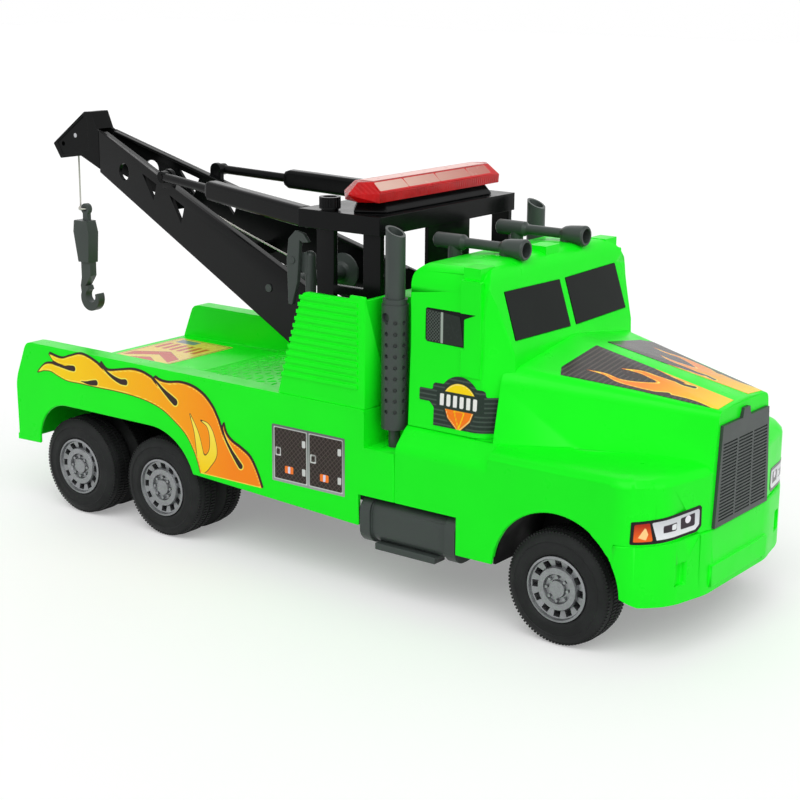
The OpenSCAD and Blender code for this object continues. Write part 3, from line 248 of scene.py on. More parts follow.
def dressed(material, colour, rough, bump, others):
    """The material with its shader fed; its bump is a height, a strength and a depth in metres."""
    tree = material.node_tree
    relief = node(tree, "Bump", dict(zip(("Height", "Strength", "Distance"), bump))).outputs["Normal"]
    sockets = {"Base Color": colour, "Roughness": rough, "Normal": relief, **others}
    feed(tree, tree.nodes["Principled BSDF"], sockets)
    return material


def moulded(name, colour, rough, gloss, drift, grain=0.25):
    """Moulded plastic: a faint drift of tone, uneven gloss and a fine moulded grain."""
    material, tree, place = fresh_material(name)
    cloud = spread(tree, noise(tree, place, 22.0, 3.0), 0, 1, 0.35, 0.7)
    tone = mixed(tree, cloud, rgba(colour), rgba(colour, 1 - drift))
    wipe = spread(tree, noise(tree, place, 70.0, 5.0), rough * 0.82, rough * 1.2, 0.3, 0.7)
    return dressed(material, tone, wipe, (noise(tree, place, 1400.0), grain, 0.00004), {GLOSS: gloss})


def metal(name, colour):
    """Drawn steel with fine streaks along the truck's width."""
    material, tree, place = fresh_material(name)
    drawn = node(tree, "Mapping", {"Vector": place, "Scale": (1.0, 0.08, 1.0)}).outputs["Vector"]
    lines = noise(tree, drawn, 1560.0)
    tone = mixed(tree, lines, rgba(colour), rgba(colour, 0.75))
    return dressed(material, tone, spread(tree, lines, 0.24, 0.39), (lines, 0.2, 0.00003), {"Metallic": 1.0})


def silver_paint(name, colour):
    """Silver-grey plastic of the rims, with a faint fleck and a little dust."""
    material, tree, place = fresh_material(name)
    fleck = noise(tree, place, 1500.0, 1.0)
    tone = mixed(tree, spread(tree, fleck, 0, 1, 0.35, 0.65), rgba(colour, 0.8), rgba(colour))
    dust = spread(tree, noise(tree, place, 160.0, 4.0), 0, 0.4, 0.5, 0.75)
    dusty = mixed(tree, dust, tone, rgba((0.16, 0.16, 0.16)))
    bump = (noise(tree, place, 900.0), 0.3, 0.00006)
    return dressed(material, dusty, spread(tree, fleck, 0.3, 0.46), bump, {"Metallic": 0.85})


def rubber(name, colour):
    """Soft black tyre: matt, with a fine grain and a paler bloom in patches."""
    material, tree, place = fresh_material(name)
    bloom = spread(tree, noise(tree, place, 60.0, 4.0), 0, 0.45, 0.4, 0.75)
    tone = mixed(tree, bloom, rgba(colour), rgba(colour, 2.2))
    rough = spread(tree, noise(tree, place, 300.0), 0.5, 0.72)
    return dressed(material, tone, rough, (noise(tree, place, 2200.0, 3.0), 0.35, 0.00008), {GLOSS: 0.15})


def red_lens(name, colour):
    """Clear red lens, ribbed across the truck."""
    material, tree, place = fresh_material(name)
    cloud = spread(tree, noise(tree, place, 90.0, 3.0), 0, 1, 0.35, 0.7)
    tone = mixed(tree, cloud, rgba(colour), rgba(colour, 0.7))
    ribs = (wave_along(tree, place, (0, 1, 0), 2.2), 0.35, 0.0003)
    return dressed(material, tone, 0.12, ribs, {GLOSS: 0.1, "Transmission Weight": 0.25, "IOR": 1.45})


def twisted(name, colour):
    """Twisted white string with slanting strands, darker in the grooves between them as painted shade."""
    material, tree, place = fresh_material(name)
    strands = wave_along(tree, place, (1, 1, 1), 1.1)
    # Painted shade: the colour falls to six tenths of the string's white where the strands' wave dips into a groove
    tone = mixed(tree, spread(tree, strands, 0, 1, -1, 1), rgba(colour, 0.6), rgba(colour))
    return dressed(material, tone, 0.85, (strands, 0.6, 0.0002), {"Sheen Weight": 0.3})


# Patterns for the printed sheets: each returns a builder that makes a colour socket


def fade(first, last, axis, start, end):
    def build(tree, place):
        part = node(tree, "SeparateXYZ", {"Vector": place}).outputs[axis]
        share = spread(tree, part, 0, 1, start * MM, end * MM)
        return mixed(tree, share, rgba(first), rgba(last))

    return build


def stripes(ground, line, direction, pitch, share):
    def build(tree, place):
        wave = wave_along(tree, place, direction, pitch)
        edge = math.cos(math.pi * share)
        return mixed(tree, spread(tree, wave, 0, 1, edge - 0.25, edge + 0.25), rgba(ground), rgba(line))

    return build


def diamonds(ground, line, pitch):
    def build(tree, place):
        up, down = (wave_along(tree, place, (1, 0, lean), pitch) for lean in (1, -1))
        top = maths(tree, "MAXIMUM", up, down)
        return mixed(tree, spread(tree, top, 0, 1, 0.75, 0.98), rgba(ground), rgba(line))

    return build


def printed(name, ground, inks, rough):
    """Printed sheet: ground colour with each ink over the last, where that ink's distance is below zero."""
    material, tree, place = fresh_material(name)
    colour = as_colour(tree, place, ground)
    for number, ink in enumerate(inks):
        distance = node(tree, "Attribute", attribute_name=f"ink_{number}").outputs["Fac"]
        cover = spread(tree, distance, 1, 0, -INK_BLUR, INK_BLUR)
        colour = mixed(tree, cover, colour, as_colour(tree, place, ink))
    specks = spread(tree, noise(tree, place, 900.0), 0.0, 0.03, 0.5, 0.8)
    tone = mixed(tree, specks, colour, rgba((0.3, 0.3, 0.3)))
    wear = spread(tree, noise(tree, place, 130.0, 4.0), rough, rough + 0.12)
    return dressed(material, tone, wear, (noise(tree, place, 500.0), 0.12, 0.00005), {GLOSS: 0.2})


# ---- meshes


def made_object(name, mesh):
    made = bpy.data.objects.new(name, mesh)
    bpy.context.scene.collection.objects.link(made)
    return made


def from_work(name, work):
    """An object of a finished bmesh, which is freed."""
    mesh = bpy.data.meshes.new(name)
    work.to_mesh(mesh)
    work.free()
    return made_object(name, mesh)


def with_modifiers(obj):
    """The object's mesh with its modifiers worked in."""
    bpy.context.view_layer.update()
    graph = bpy.context.evaluated_depsgraph_get()
    mesh = bpy.data.meshes.new_from_object(obj.evaluated_get(graph))
    obj.modifiers.clear()
    obj.data = mesh
    return obj


def dye(obj, material):
    obj.data.materials.clear()
    obj.data.materials.append(material)


def finished(obj, body, material=None, stands_for=()):
    """Gives a piece its body and a material unless its own stays, and hides the nodes that it stands for."""
    if material is not None:
        dye(obj, material)
    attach(obj, body)
    if stands_for:
        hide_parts(*stands_for)
    return obj


def edge_rooms(face):
    """How wide a rounding fits beside each edge of a face before it meets another corner or edge."""
    spots = np.array([v.co for v in face.verts])
    run = np.roll(spots, -1, axis=0) - spots
    inward = np.cross(np.array(face.normal), run)
    inward /= np.maximum(np.linalg.norm(inward, axis=1, keepdims=True), 1e-12)
    away = spots[None] - spots[:, None]
    share = np.clip((away * run[:, None]).sum(-1) / np.maximum((run**2).sum(-1), 1e-18)[:, None], 0, 1)
    offset = away - share[..., None] * run[:, None]
    gap = np.linalg.norm(offset, axis=-1)
    facing = (offset * inward[:, None]).sum(-1) > 0.5 * gap
    gap = np.where(facing & (gap > 1e-7), gap, 1.0)
    at_vertex = gap.min(axis=0)
    return np.minimum(gap.min(axis=1), np.minimum(at_vertex, np.roll(at_vertex, -1)))


def strays(mesh, surface, reach):
    """Where a rounding went astray, and how far from the moulding it went."""
    found = []
    for vertex in mesh.vertices:
        gap = surface.find_nearest(vertex.co)[3]
        if gap > reach:
            found.append((vertex.co.copy(), gap))
    mesh.calc_loop_triangles()
    for face in mesh.loop_triangles:
        centre = sum((mesh.vertices[k].co for k in face.vertices), Vector()) / 3
        if face.area > SPECK and surface.find_nearest(centre)[1].dot(face.normal) < -0.1:
            found.append((centre, reach))
    return found


def rounding_rooms(work):
    """The least room beside each edge, by the edge's index."""
    rooms = {}
    for face in work.faces:
        for loop, span in zip(face.loops, edge_rooms(face)):
            rooms[loop.edge.index] = min(rooms.get(loop.edge.index, 1.0), span)
    return rooms


def edge_distance(edge, spot):
    start, end = (vertex.co for vertex in edge.verts)
    share = intersect_point_line(spot, start, end)[1]
    return (spot - start.lerp(end, min(1.0, max(0.0, share)))).length


def modifier(obj, kind, **settings):
    return with_settings(obj.modifiers.new(kind.capitalize(), kind), settings)


def bevelled(piece, work, width, steps):
    """Gives a piece the worked mesh with its weighted edges rounded."""
    piece.data = bpy.data.meshes.new(piece.name)
    work.to_mesh(piece.data)
    modifier(piece, "BEVEL", limit_method="WEIGHT", width=width, segments=steps, use_clamp_overlap=False)
    modifier(piece, "WEIGHTED_NORMAL", keep_sharp=True)
    return with_modifiers(piece)


def soft_edged(source, finish, body, width, steps):
    """A copy of a CAD node whose edges are rounded as a mould leaves them, narrower on thin walls."""
    work = bmesh.new()
    work.from_mesh(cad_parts[source].data)
    surface = BVHTree.FromBMesh(work)
    bmesh.ops.remove_doubles(work, verts=work.verts, dist=4e-6)
    bmesh.ops.dissolve_degenerate(work, edges=work.edges, dist=2e-6)
    plain = work.copy()
    bmesh.ops.dissolve_limit(work, angle_limit=FLAT, verts=work.verts, edges=work.edges)
    for face in (*work.faces, *plain.faces):
        face.smooth = True
    work.edges.index_update()
    rooms = rounding_rooms(work)
    weight = work.edges.layers.float.new("bevel_weight_edge")
    for edge in work.edges:
        if len(edge.link_faces) == 2 and edge.calc_face_angle(0.0) > SHARP:
            share = min(1.0, ROOM_SHARE * rooms[edge.index] / width)
            edge.smooth = bool(share > LEAST_ROUNDING)
            edge[weight] = share if edge.smooth else 0.0
    piece = made_object(f"{source}_skin", bpy.data.meshes.new(source))
    for attempt in range(ROUNDING_TRIES):
        bevelled(piece, work, width, steps)
        wrong = strays(piece.data, surface, STRAY_SHARE * width)
        if not wrong:
            break
        # The edges round a stray corner stay sharp, and the rounding starts again
        widening = 1 + attempt / 2
        for edge in work.edges:
            if edge[weight] > 0 and any(
                edge_distance(edge, spot) < (1.3 * gap + 2 * width) * widening for spot, gap in wrong
            ):
                edge[weight] = 0.0
                edge.smooth = False
    else:
        for edge in plain.edges:
            edge.smooth = edge.calc_face_angle(0.0) < SHARP
        plain.to_mesh(piece.data)
        print(f"{source} keeps its sharp edges")
    work.free()
    plain.free()
    return finished(piece, body, palette()[finish], [source])


def revolved(name, profile, centre, side):
    """A closed profile of (radius, depth) pairs in mm, turned round an axle; depth 0 is the outer face."""
    work = bmesh.new()
    rings = []
    for radius, depth in profile:
        ring = []
        for turn in range(TYRE_STEPS):
            angle = 2 * math.pi * turn / TYRE_STEPS
            x = centre[0] + radius * math.cos(angle)
            z = centre[2] + radius * math.sin(angle)
            ring.append(work.verts.new((x * MM, (centre[1] + side * depth) * MM, z * MM)))
        rings.append(ring)
    for ring, after in zip(rings, [*rings[1:], rings[0]]):
        for turn in range(TYRE_STEPS):
            nxt = (turn + 1) % TYRE_STEPS
            work.faces.new((ring[turn], ring[nxt], after[nxt], after[turn]))
    bmesh.ops.recalc_face_normals(work, faces=work.faces)
    for face in work.faces:
        face.smooth = True
    return from_work(name, work)


def sharpened(obj, angle):
    """Marks edges sharper than the angle, so that the shading breaks there."""
    work = bmesh.new()
    work.from_mesh(obj.data)
    for edge in work.edges:
        if len(edge.link_faces) == 2 and edge.calc_face_angle(0.0) > angle:
            edge.smooth = False
    work.to_mesh(obj.data)
    work.free()
    return obj


def joined(name, parts):
    """One mesh object from several, which are removed."""
    work = bmesh.new()
    for part in parts:
        work.from_mesh(part.data)
        bpy.data.objects.remove(part)
    return from_work(name, work)


# ---- repeated pieces


def geometry_tree(name, inputs):
    """A geometry node tree and the sockets of its named inputs."""
    tree = bpy.data.node_groups.new(name, "GeometryNodeTree")
    tree.is_modifier = True
    tree.interface.new_socket("Geometry", in_out="OUTPUT", socket_type="NodeSocketGeometry")
    for title, kind in inputs.items():
        tree.interface.new_socket(title, in_out="INPUT", socket_type="NodeSocket" + kind)
    return tree, tree.nodes.new("NodeGroupInput").outputs


def geo(tree, kind, values=None):
    """The first output of a geometry node."""
    return node(tree, "GeometryNode" + kind, values).outputs[0]


def closed_tree(tree, instances, centre, turn, material):
    """Ends a tree: its instances are turned, moved to their centre, made real and given their material."""
    laid = geo(tree, "Transform", {"Geometry": instances, "Translation": centre, "Rotation": turn})
    real = geo(tree, "RealizeInstances", {"Geometry": laid})
    dyed = geo(tree, "SetMaterial", {"Geometry": real, "Material": material})
    tree.links.new(dyed, tree.nodes.new("NodeGroupOutput").inputs[0])
    return tree


def turn_about(tree, axis, angle):
    return node(tree, "CombineXYZ", {axis: angle}).outputs[0]


def ring_tree(name, material, solid, sizes, facing=False):
    """Tree for blocks or nuts set round a wheel's axle, which may each face outwards."""
    common = {"Count": "Int", "Radius": "Float", "Centre": "Vector", "Turn": "Float"}
    tree, given = geometry_tree(name, {**common, **sizes})
    circle = geo(tree, "MeshCircle", {"Vertices": given["Count"], "Radius": given["Radius"]})
    values = {"Points": circle, "Instance": solid(tree, given)}
    if facing:
        share = maths(tree, "DIVIDE", geo(tree, "InputIndex"), given["Count"])
        values["Rotation"] = turn_about(tree, "Z", maths(tree, "MULTIPLY", share, 2 * math.pi))
    placed = geo(tree, "InstanceOnPoints", values)
    turned = geo(tree, "Transform", {"Geometry": placed, "Rotation": turn_about(tree, "Z", given["Turn"])})
    return closed_tree(tree, turned, given["Centre"], UPRIGHT, material)


def lug(tree, given):
    return geo(tree, "MeshCube", {"Size": given["Block"]})


def six_sided_nut(tree, given):
    radius, height = given["Nut radius"], given["Nut height"]
    return geo(tree, "MeshCone", {"Vertices": 6, "Radius Bottom": radius, "Radius Top": radius, "Depth": height})


def tread_plate(material):
    """Tree for rows of raised bars on the ramp, turned by turns along and across the truck."""
    tree, given = geometry_tree(
        "Tread plate",
        {
            "Length": "Float", "Width": "Float", "Columns": "Int", "Rows": "Int", "Bar": "Vector",
            "Centre": "Vector", "Slope": "Float",
        },
    )
    rows = given["Rows"]
    grid = geo(
        tree, "MeshGrid",
        {"Size X": given["Length"], "Size Y": given["Width"], "Vertices X": given["Columns"], "Vertices Y": rows},
    )
    index = geo(tree, "InputIndex")
    column = maths(tree, "FLOOR", maths(tree, "DIVIDE", index, rows))
    odd = maths(tree, "MODULO", maths(tree, "ADD", index, column), 2.0)
    spin = turn_about(tree, "Z", maths(tree, "MULTIPLY", odd, math.pi / 2))
    ball = geo(tree, "MeshUVSphere", {"Segments": 10, "Rings": 5, "Radius": 1.0})
    placed = geo(
        tree, "InstanceOnPoints", {"Points": grid, "Instance": ball, "Rotation": spin, "Scale": given["Bar"]}
    )
    return closed_tree(tree, placed, given["Centre"], turn_about(tree, "Y", given["Slope"]), material)


def grown(name, tree, values):
    """The plain mesh that a tree makes from its named inputs."""
    host = made_object(name, bpy.data.meshes.new(name))
    pattern = modifier(host, "NODES", node_group=tree)
    for item in tree.interface.items_tree:
        if item.name in values:
            pattern[item.identifier] = values[item.name]
    return with_modifiers(host)


# ---- printed sheets


def smooth_line(points, steps=8):
    """Points of a smooth line through the given rows, of any width."""
    rows = np.array(points, float)
    padded = np.vstack([2 * rows[0] - rows[1], rows, 2 * rows[-1] - rows[-2]])
    line = []
    for k in range(1, len(padded) - 2):
        a, b, c, d = padded[k - 1 : k + 3]
        for s in range(steps):
            t = s / steps
            line.append(
                0.5 * (2 * b + (c - a) * t + (2 * a - 5 * b + 4 * c - d) * t**2 + (3 * b - a - 3 * c + d) * t**3)
            )
    line.append(rows[-1])
    return np.array(line)


def from_runs(u, v, first, run):
    """Each point's distance from each straight run, and the share of the run where it is nearest."""
    away = np.stack([u, v], -1)[..., None, :] - first
    share = np.clip((away * run).sum(-1) / np.maximum((run**2).sum(-1), 1e-9), 0, 1)
    return np.linalg.norm(away - share[..., None] * run, axis=-1), share


def tongue(*spine):
    """Distance to a stroke whose rows hold place and half width: a lick of flame or a teardrop."""
    line = smooth_line(spine)
    first, run = line[:-1], np.diff(line, axis=0)

    def field(u, v):
        near, share = from_runs(u, v, first[:, :2], run[:, :2])
        return (near - np.maximum(first[:, 2] + share * run[:, 2], 0)).min(-1)

    return field


def tongues(*spines):
    return union(*(tongue(*spine) for spine in spines))


def outline(*points):
    """Distance to a closed straight-sided outline, negative inside it."""
    ring = np.array(points, float)
    after = np.roll(ring, -1, axis=0)
    edge = after - ring

    def field(u, v):
        near = from_runs(u, v, ring, edge)[0].min(-1)
        rise = np.where(edge[:, 1] == 0, 1e-9, edge[:, 1])
        level = (ring[:, 1] > v[..., None]) != (after[:, 1] > v[..., None])
        before = u[..., None] < ring[:, 0] + edge[:, 0] * (v[..., None] - ring[:, 1]) / rise
        inside = (level & before).sum(-1) % 2 == 1
        return np.where(inside, -near, near)

    return field


def block(u, v, width, height):
    """A rectangle from its low corner and its size."""
    return outline((u, v), (u + width, v), (u + width, v + height), (u, v + height))


def curved(*runs):
    """Outline whose runs are smooth and meet in sharp corners."""
    return outline(*(spot for run in runs for spot in (smooth_line(run) if len(run) > 1 else run)))


def disc(u0, v0, radius):
    return lambda u, v: np.hypot(u - u0, v - v0) - radius


def melted(*spines):
    """Union of tongues whose joints are filled as liquid would fill them."""
    fields = [tongue(*spine) for spine in spines]

    def field(u, v):
        total = fields[0](u, v)
        for other in fields[1:]:
            value = other(u, v)
            share = np.clip(0.5 + 0.5 * (value - total) / MELT, 0, 1)
            total = value * (1 - share) + total * share - MELT * share * (1 - share)
        return total

    return field


def union(*fields):
    return lambda u, v: np.minimum.reduce([f(u, v) for f in fields])


def overlap(*fields):
    return lambda u, v: np.maximum.reduce([f(u, v) for f in fields])


def grow(field, by):
    return lambda u, v: field(u, v) - by


def line_of(field, width, inset=0.0):
    """A line of the given width along a shape's edge."""
    return lambda u, v: np.abs(field(u, v) + inset) - width / 2


def line_within(field, width, inset):
    return overlap(line_of(field, width, inset), field)


def moved(field, du, dv):
    return lambda u, v: field(u - du, v - dv)


def clipped_grid(field, low, high, spacing):
    """Points and faces of the part of a flat grid that lies inside a shape, cut along its edge."""
    us, vs = (np.arange(low[axis], high[axis] + spacing, spacing) for axis in (0, 1))
    value = field(*np.meshgrid(us, vs, indexing="ij"))
    points, faces, known = [], [], {}

    def point(*ends):
        """The number of a grid point, or of the spot where the shape's edge crosses a grid line."""
        ends = tuple(sorted(ends))
        if ends not in known:
            known[ends] = len(points)
            (a, b), share = (ends[0], ends[-1]), 0.0
            if a != b:
                share = value[a] / (value[a] - value[b])
            points.append((us[a[0]] + share * (us[b[0]] - us[a[0]]), vs[a[1]] + share * (vs[b[1]] - vs[a[1]])))
        return known[ends]

    for i in range(len(us) - 1):
        for j in range(len(vs) - 1):
            ring = [(i, j), (i + 1, j), (i + 1, j + 1), (i, j + 1)]
            face = []
            for a, b in zip(ring, [*ring[1:], ring[0]]):
                if value[a] < 0:
                    face.append(point(a))
                if (value[a] < 0) != (value[b] < 0):
                    face.append(point(a, b))
            if len(face) > 2:
                faces.append(face)
    return points, faces


def sticker(name, shape, low, high, inks, ground, place, rough):
    """A thin printed sheet cut to a shape and laid where place(u, v) says, with its inks' distances on its points."""
    setup = bpy.context.scene.tow_stickers
    points, faces = clipped_grid(shape, low, high, setup.step)
    top, under = [], []
    for u, v in points:
        spot, normal = place(u, v)
        top.append(spot + normal * setup.lift)
        under.append(spot + normal * (setup.lift - setup.thick))
    work = bmesh.new()
    upper, lower = ([work.verts.new(p) for p in layer] for layer in (top, under))
    a, b, c = faces[len(faces) // 2][:3]
    if (top[b] - top[a]).cross(top[c] - top[a]).dot(top[a] - under[a]) < 0:
        faces = [face[::-1] for face in faces]
    rims = {}
    for face in faces:
        work.faces.new([upper[k] for k in face])
        work.faces.new([lower[k] for k in reversed(face)])
        for a, b in zip(face, [*face[1:], face[0]]):
            rims[(a, b)] = (b, a) not in rims
            if (b, a) in rims:
                rims[(b, a)] = False
    for (a, b), open_rim in rims.items():
        if open_rim:
            work.faces.new((upper[b], upper[a], lower[a], lower[b]))
    for face in work.faces:
        face.smooth = True
    piece = from_work(name, work)
    flat = np.array(points * 2)
    for number, (field, _) in enumerate(inks):
        layer = piece.data.attributes.new(f"ink_{number}", "FLOAT", "POINT")
        layer.data.foreach_set("value", field(flat[:, 0], flat[:, 1]).astype(np.float32))
    sharpened(piece, math.radians(60))
    return finished(piece, "truck", printed(name, ground, [ink for _, ink in inks], rough))


def box_mm(name):
    """The low and high corners of a node's box, in millimetres."""
    return [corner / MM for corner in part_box(name)]


def on_flank(side, y=85.0):
    return lambda u, v: (Vector((u, side * y, v)) * MM, Vector((0, side, 0)))


def on_level(z):
    return lambda u, v: (Vector((u, v, z)) * MM, Vector((0, 0, 1)))


def both_sides(name, shape, low, high, inks, ground, place_for, rough):
    """The same sheet on the right and on the left, where place_for(side) puts it."""
    for letter, side in SIDES.items():
        sticker(f"{name}_{letter}", shape, low, high, inks, ground, place_for(side), rough)


def cast_on(names, start, direction):
    """Place function that drops each point on the nearest of the named shells along a direction."""
    work = bmesh.new()
    for name in names:
        work.from_mesh((bpy.data.objects.get(f"{name}_skin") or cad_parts[name]).data)
    bmesh.ops.triangulate(work, faces=work.faces)
    surface = BVHTree.FromBMesh(work)
    work.free()
    aim = Vector(direction)

    def place(u, v):
        spot, normal, _, _ = surface.ray_cast(Vector(start(u, v)) * MM, aim)
        if spot is None:
            raise RuntimeError(f"no surface under the sheet's point {u:.1f}, {v:.1f}")
        return spot, -normal if normal.dot(aim) > 0 else normal

    return place


# ---- pieces


def palette():
    """The finishes, made once and then found by name; moulded ones by roughness, gloss and drift of tone."""
    paint = bpy.context.scene.tow_paint
    makers = {
        "green_plastic": (moulded, paint.green, 0.32, 0.14, 0.05),
        "black_plastic": (moulded, paint.black, 0.22, 0.1, -0.4),
        "chassis_black": (moulded, paint.black, 0.5, 0.1, -0.5),
        "grey_plastic": (moulded, paint.grey, 0.34, 0.25, 0.15),
        "silver_plastic": (silver_paint, paint.silver),
        "tyre_rubber": (rubber, paint.tyre),
        "window_black": (moulded, paint.glass, 0.14, 0.1, -0.6, 0.05),
        "red_lens": (red_lens, paint.lens),
        "steel": (metal, paint.steel),
        "white_string": (twisted, paint.string),
    }
    made = bpy.data.materials
    return {
        key: made.get(f"{key}_finish") or maker(f"{key}_finish", *given)
        for key, (maker, *given) in makers.items()
    }


NODE_FINISHES = {
    "chassis_black": ["chassis"],
    "black_plastic": ["platform_knob_r", "platform_knob_l", "tip_roller"],
    "grey_plastic": ["grille", "winch_drum", "winch_crank", "exhaust_stack_r", "exhaust_stack_l"],
    "silver_plastic": [f"{row}_rim_{letter}" for row in AXLES for letter in SIDES],
    "window_black": ["windscreen_r", "windscreen_l", "side_window_r", "side_window_l"],
    "red_lens": ["light_bar_lens"],
    "steel": ["boom_pivot_pin", "tip_roller_pin", "body_screws", *(f"{row}_axle" for row in AXLES)],
    "white_string": ["string_knot"],
}

# Small parts whose edges are rounded, by finish and body; where no body is named, each rides on its own
TRIM = (
    ("black_plastic", "truck", ("gantry_frame", "gantry_platform", "light_bar_base")),
    ("black_plastic", "boom", ("boom_plate_r", "boom_plate_l", "boom_head", "boom_brace")),
    ("black_plastic", None, ("strut_sleeve_r", "strut_sleeve_l", "strut_rod_r", "strut_rod_l")),
    ("grey_plastic", "truck", ("fuel_tank_r", "fuel_tank_l", "horn_r", "horn_l", "lever_post")),
    ("grey_plastic", "lever", ("lock_lever",)),
    ("grey_plastic", "hook", ("tow_hook",)),
)


class TOW_OT_finishes(Operator):
    """Gives the carried-over parts their finishes"""

    bl_idname = "tow.finishes"
    bl_label = "Finishes"

    def execute(self, context):
        materials = palette()
        for finish, names in NODE_FINISHES.items():
            for name in names:
                dye(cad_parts[name], materials[finish])
        return {"FINISHED"}


class TOW_OT_shells(Operator):
    """Makes the green body shells with their rounded edges"""

    bl_idname = "tow.shells"
    bl_label = "Body shells"

    def execute(self, context):
        setup = context.scene.tow_shell
        for name in GREEN_SHELLS:
            soft_edged(name, "green_plastic", "truck", setup.edge, setup.steps)
        return {"FINISHED"}


class TOW_OT_trim(Operator):
    """Makes the black and grey fittings with their rounded edges"""

    bl_idname = "tow.trim"
    bl_label = "Fittings"

    def execute(self, context):
        for finish, body, names in TRIM:
            for name in names:
                soft_edged(name, finish, body or name, context.scene.tow_shell.fine_edge, 2)
        return {"FINISHED"}


class TOW_OT_wheels(Operator):
    """Makes the six tyres with their tread lugs, and the nuts on the hubs"""

    bl_idname = "tow.wheels"
    bl_label = "Wheels"

    def execute(self, context):
        materials = palette()
        black, silver = materials["tyre_rubber"], materials["silver_plastic"]
        lug_tree = ring_tree("Ring of lugs", black, lug, {"Block": "Vector"}, facing=True)
        nut_tree = ring_tree("Ring of nuts", silver, six_sided_nut, {"Nut radius": "Float", "Nut height": "Float"})
        setup = context.scene.tow_wheels
        for row in AXLES:
            for letter, side in SIDES.items():
                low, high = box_mm(f"{row}_tyre_{letter}")
                rim_low, rim_high = box_mm(f"{row}_rim_{letter}")
                rim, outer = (rim_high.z - rim_low.z) / 2, max(abs(low.y), abs(high.y))
                hub = Vector(((low.x + high.x) / 2, side * outer, (low.z + high.z) / 2))
                radius, width = (high.z - low.z) / 2, high.y - low.y
                profile, bands = self.sections(rim, radius - setup.lug_depth / MM, width, row != "front")
                parts = [revolved(f"{row}_tyre_body_{letter}", profile, hub, side)]
                for number, (offset, length) in enumerate(bands):
                    drop = SHOULDER_DROP if number in (0, len(bands) - 1) else 0
                    step = 2 * math.pi * radius * MM / setup.lugs
                    parts.append(grown(f"{row}_lugs_{letter}_{number}", lug_tree, {
                        "Count": setup.lugs, "Radius": radius * MM - drop - setup.lug_depth,
                        "Block": (2 * setup.lug_depth, step * LUG_SHARE, length * MM),
                        "Centre": (hub + Vector((0, side * offset, 0))) * MM,
                        "Turn": math.pi / setup.lugs * (number % 2),
                    }))
                tyre = sharpened(joined(f"{row}_tyre_tread_{letter}", parts), math.radians(35))
                finished(tyre, f"{row}_wheels", black, [f"{row}_tyre_{letter}"])
                nuts = grown(f"{row}_nuts_{letter}", nut_tree, {
                    "Count": setup.nuts, "Radius": rim * 0.36 * MM, "Nut radius": 0.95 * MM,
                    "Nut height": 1.6 * MM, "Centre": (hub - Vector((0, side * 3.2, 0))) * MM, "Turn": 0.0,
                })
                finished(nuts, f"{row}_wheels", silver)
        return {"FINISHED"}

    def sections(self, rim, tread, width, twin):
        """A tyre's profile, and its bands of lugs as depth and length; twins have a groove in the middle."""
        half = -width / 2
        groove, middle = [], []
        if twin:
            groove = [(tread - 0.2, half + 5), (tread - 5, half + 1), (tread - 5, half - 1), (tread - 0.2, half - 5)]
            middle = [(half + 7.4, 4.0), (half - 7.4, 4.0)]
        profile = [
            (rim, 1.5 - width), *((rim + rise, -depth) for rise, depth in SIDEWALL),
            *((tread - drop, -depth) for drop, depth in SHOULDER), *groove,
            *((tread - drop, depth - width) for drop, depth in reversed(SHOULDER)),
            (rim + 6, 0.9 - width), (rim + 2, 0.9 - width),
        ]
        return profile, [(-4.6, 3.4), (-9.2, 4.0), *middle, (9.2 - width, 4.0), (4.6 - width, 3.4)]


class TOW_OT_ramp(Operator):
    """Makes the raised bars of the tread plate on the ramp"""

    bl_idname = "tow.ramp"
    bl_label = "Tread plate"

    def execute(self, context):
        foot, head = Vector((-128, 0, 88)), Vector((2.2, 0, 109))
        run = head - foot
        bars = grown(
            "ramp_tread", tread_plate(palette()["green_plastic"]),
            {
                "Length": 0.112, "Width": 0.132, "Columns": 13, "Rows": 15, "Bar": (0.0042, 0.0011, 0.0007),
                "Centre": (foot + run * 0.53) * MM, "Slope": -math.atan2(run.z, run.x),
            },
        )
        for face in bars.data.polygons:
            face.use_smooth = True
        finished(bars, "truck")
        return {"FINISHED"}


class TOW_OT_windows(Operator):
    """Makes the bars and the mesh of the side windows"""

    bl_idname = "tow.windows"
    bl_label = "Side windows"

    def execute(self, context):
        for letter, side in SIDES.items():
            low, high = box_mm(f"side_window_{letter}")
            pane = outline(
                (low.x + 0.8, low.z + 1.2), (low.x + 0.8, high.z - 1.2), (high.x - 12, high.z - 3.0),
                (high.x - 9.5, low.z + 1.0),
            )
            rear_half = overlap(pane, block(0, 0, 112.5, 300))
            bar = overlap(grow(pane, 0.6), block(112.7, 0, 1.6, 300))
            sticker(
                f"side_window_print_{letter}", grow(pane, 0.4), (low.x - 1, low.z - 1), (high.x + 1, high.z + 1),
                [(rear_half, diamonds((0.008, 0.014, 0.01), (0.1, 0.13, 0.11), 2.0)), (bar, (0.34, 0.4, 0.35))],
                (0.012, 0.02, 0.015), on_flank(side, abs(high.y if side > 0 else low.y)), 0.14,
            )
        return {"FINISHED"}


def flame_inks(body, drops, colour, paint, halo):
    """Inks of a flame: its dark edge, its own fade, the pale lines inside and its dark drops."""
    return [
        (halo, paint.ink),
        (body, colour),
        (line_within(body, 0.6, 0.65), paint.flame_edge),
        (overlap(grow(drops, 0.7), grow(body, -0.3)), paint.flame_edge),
        (drops, paint.ink),
    ]


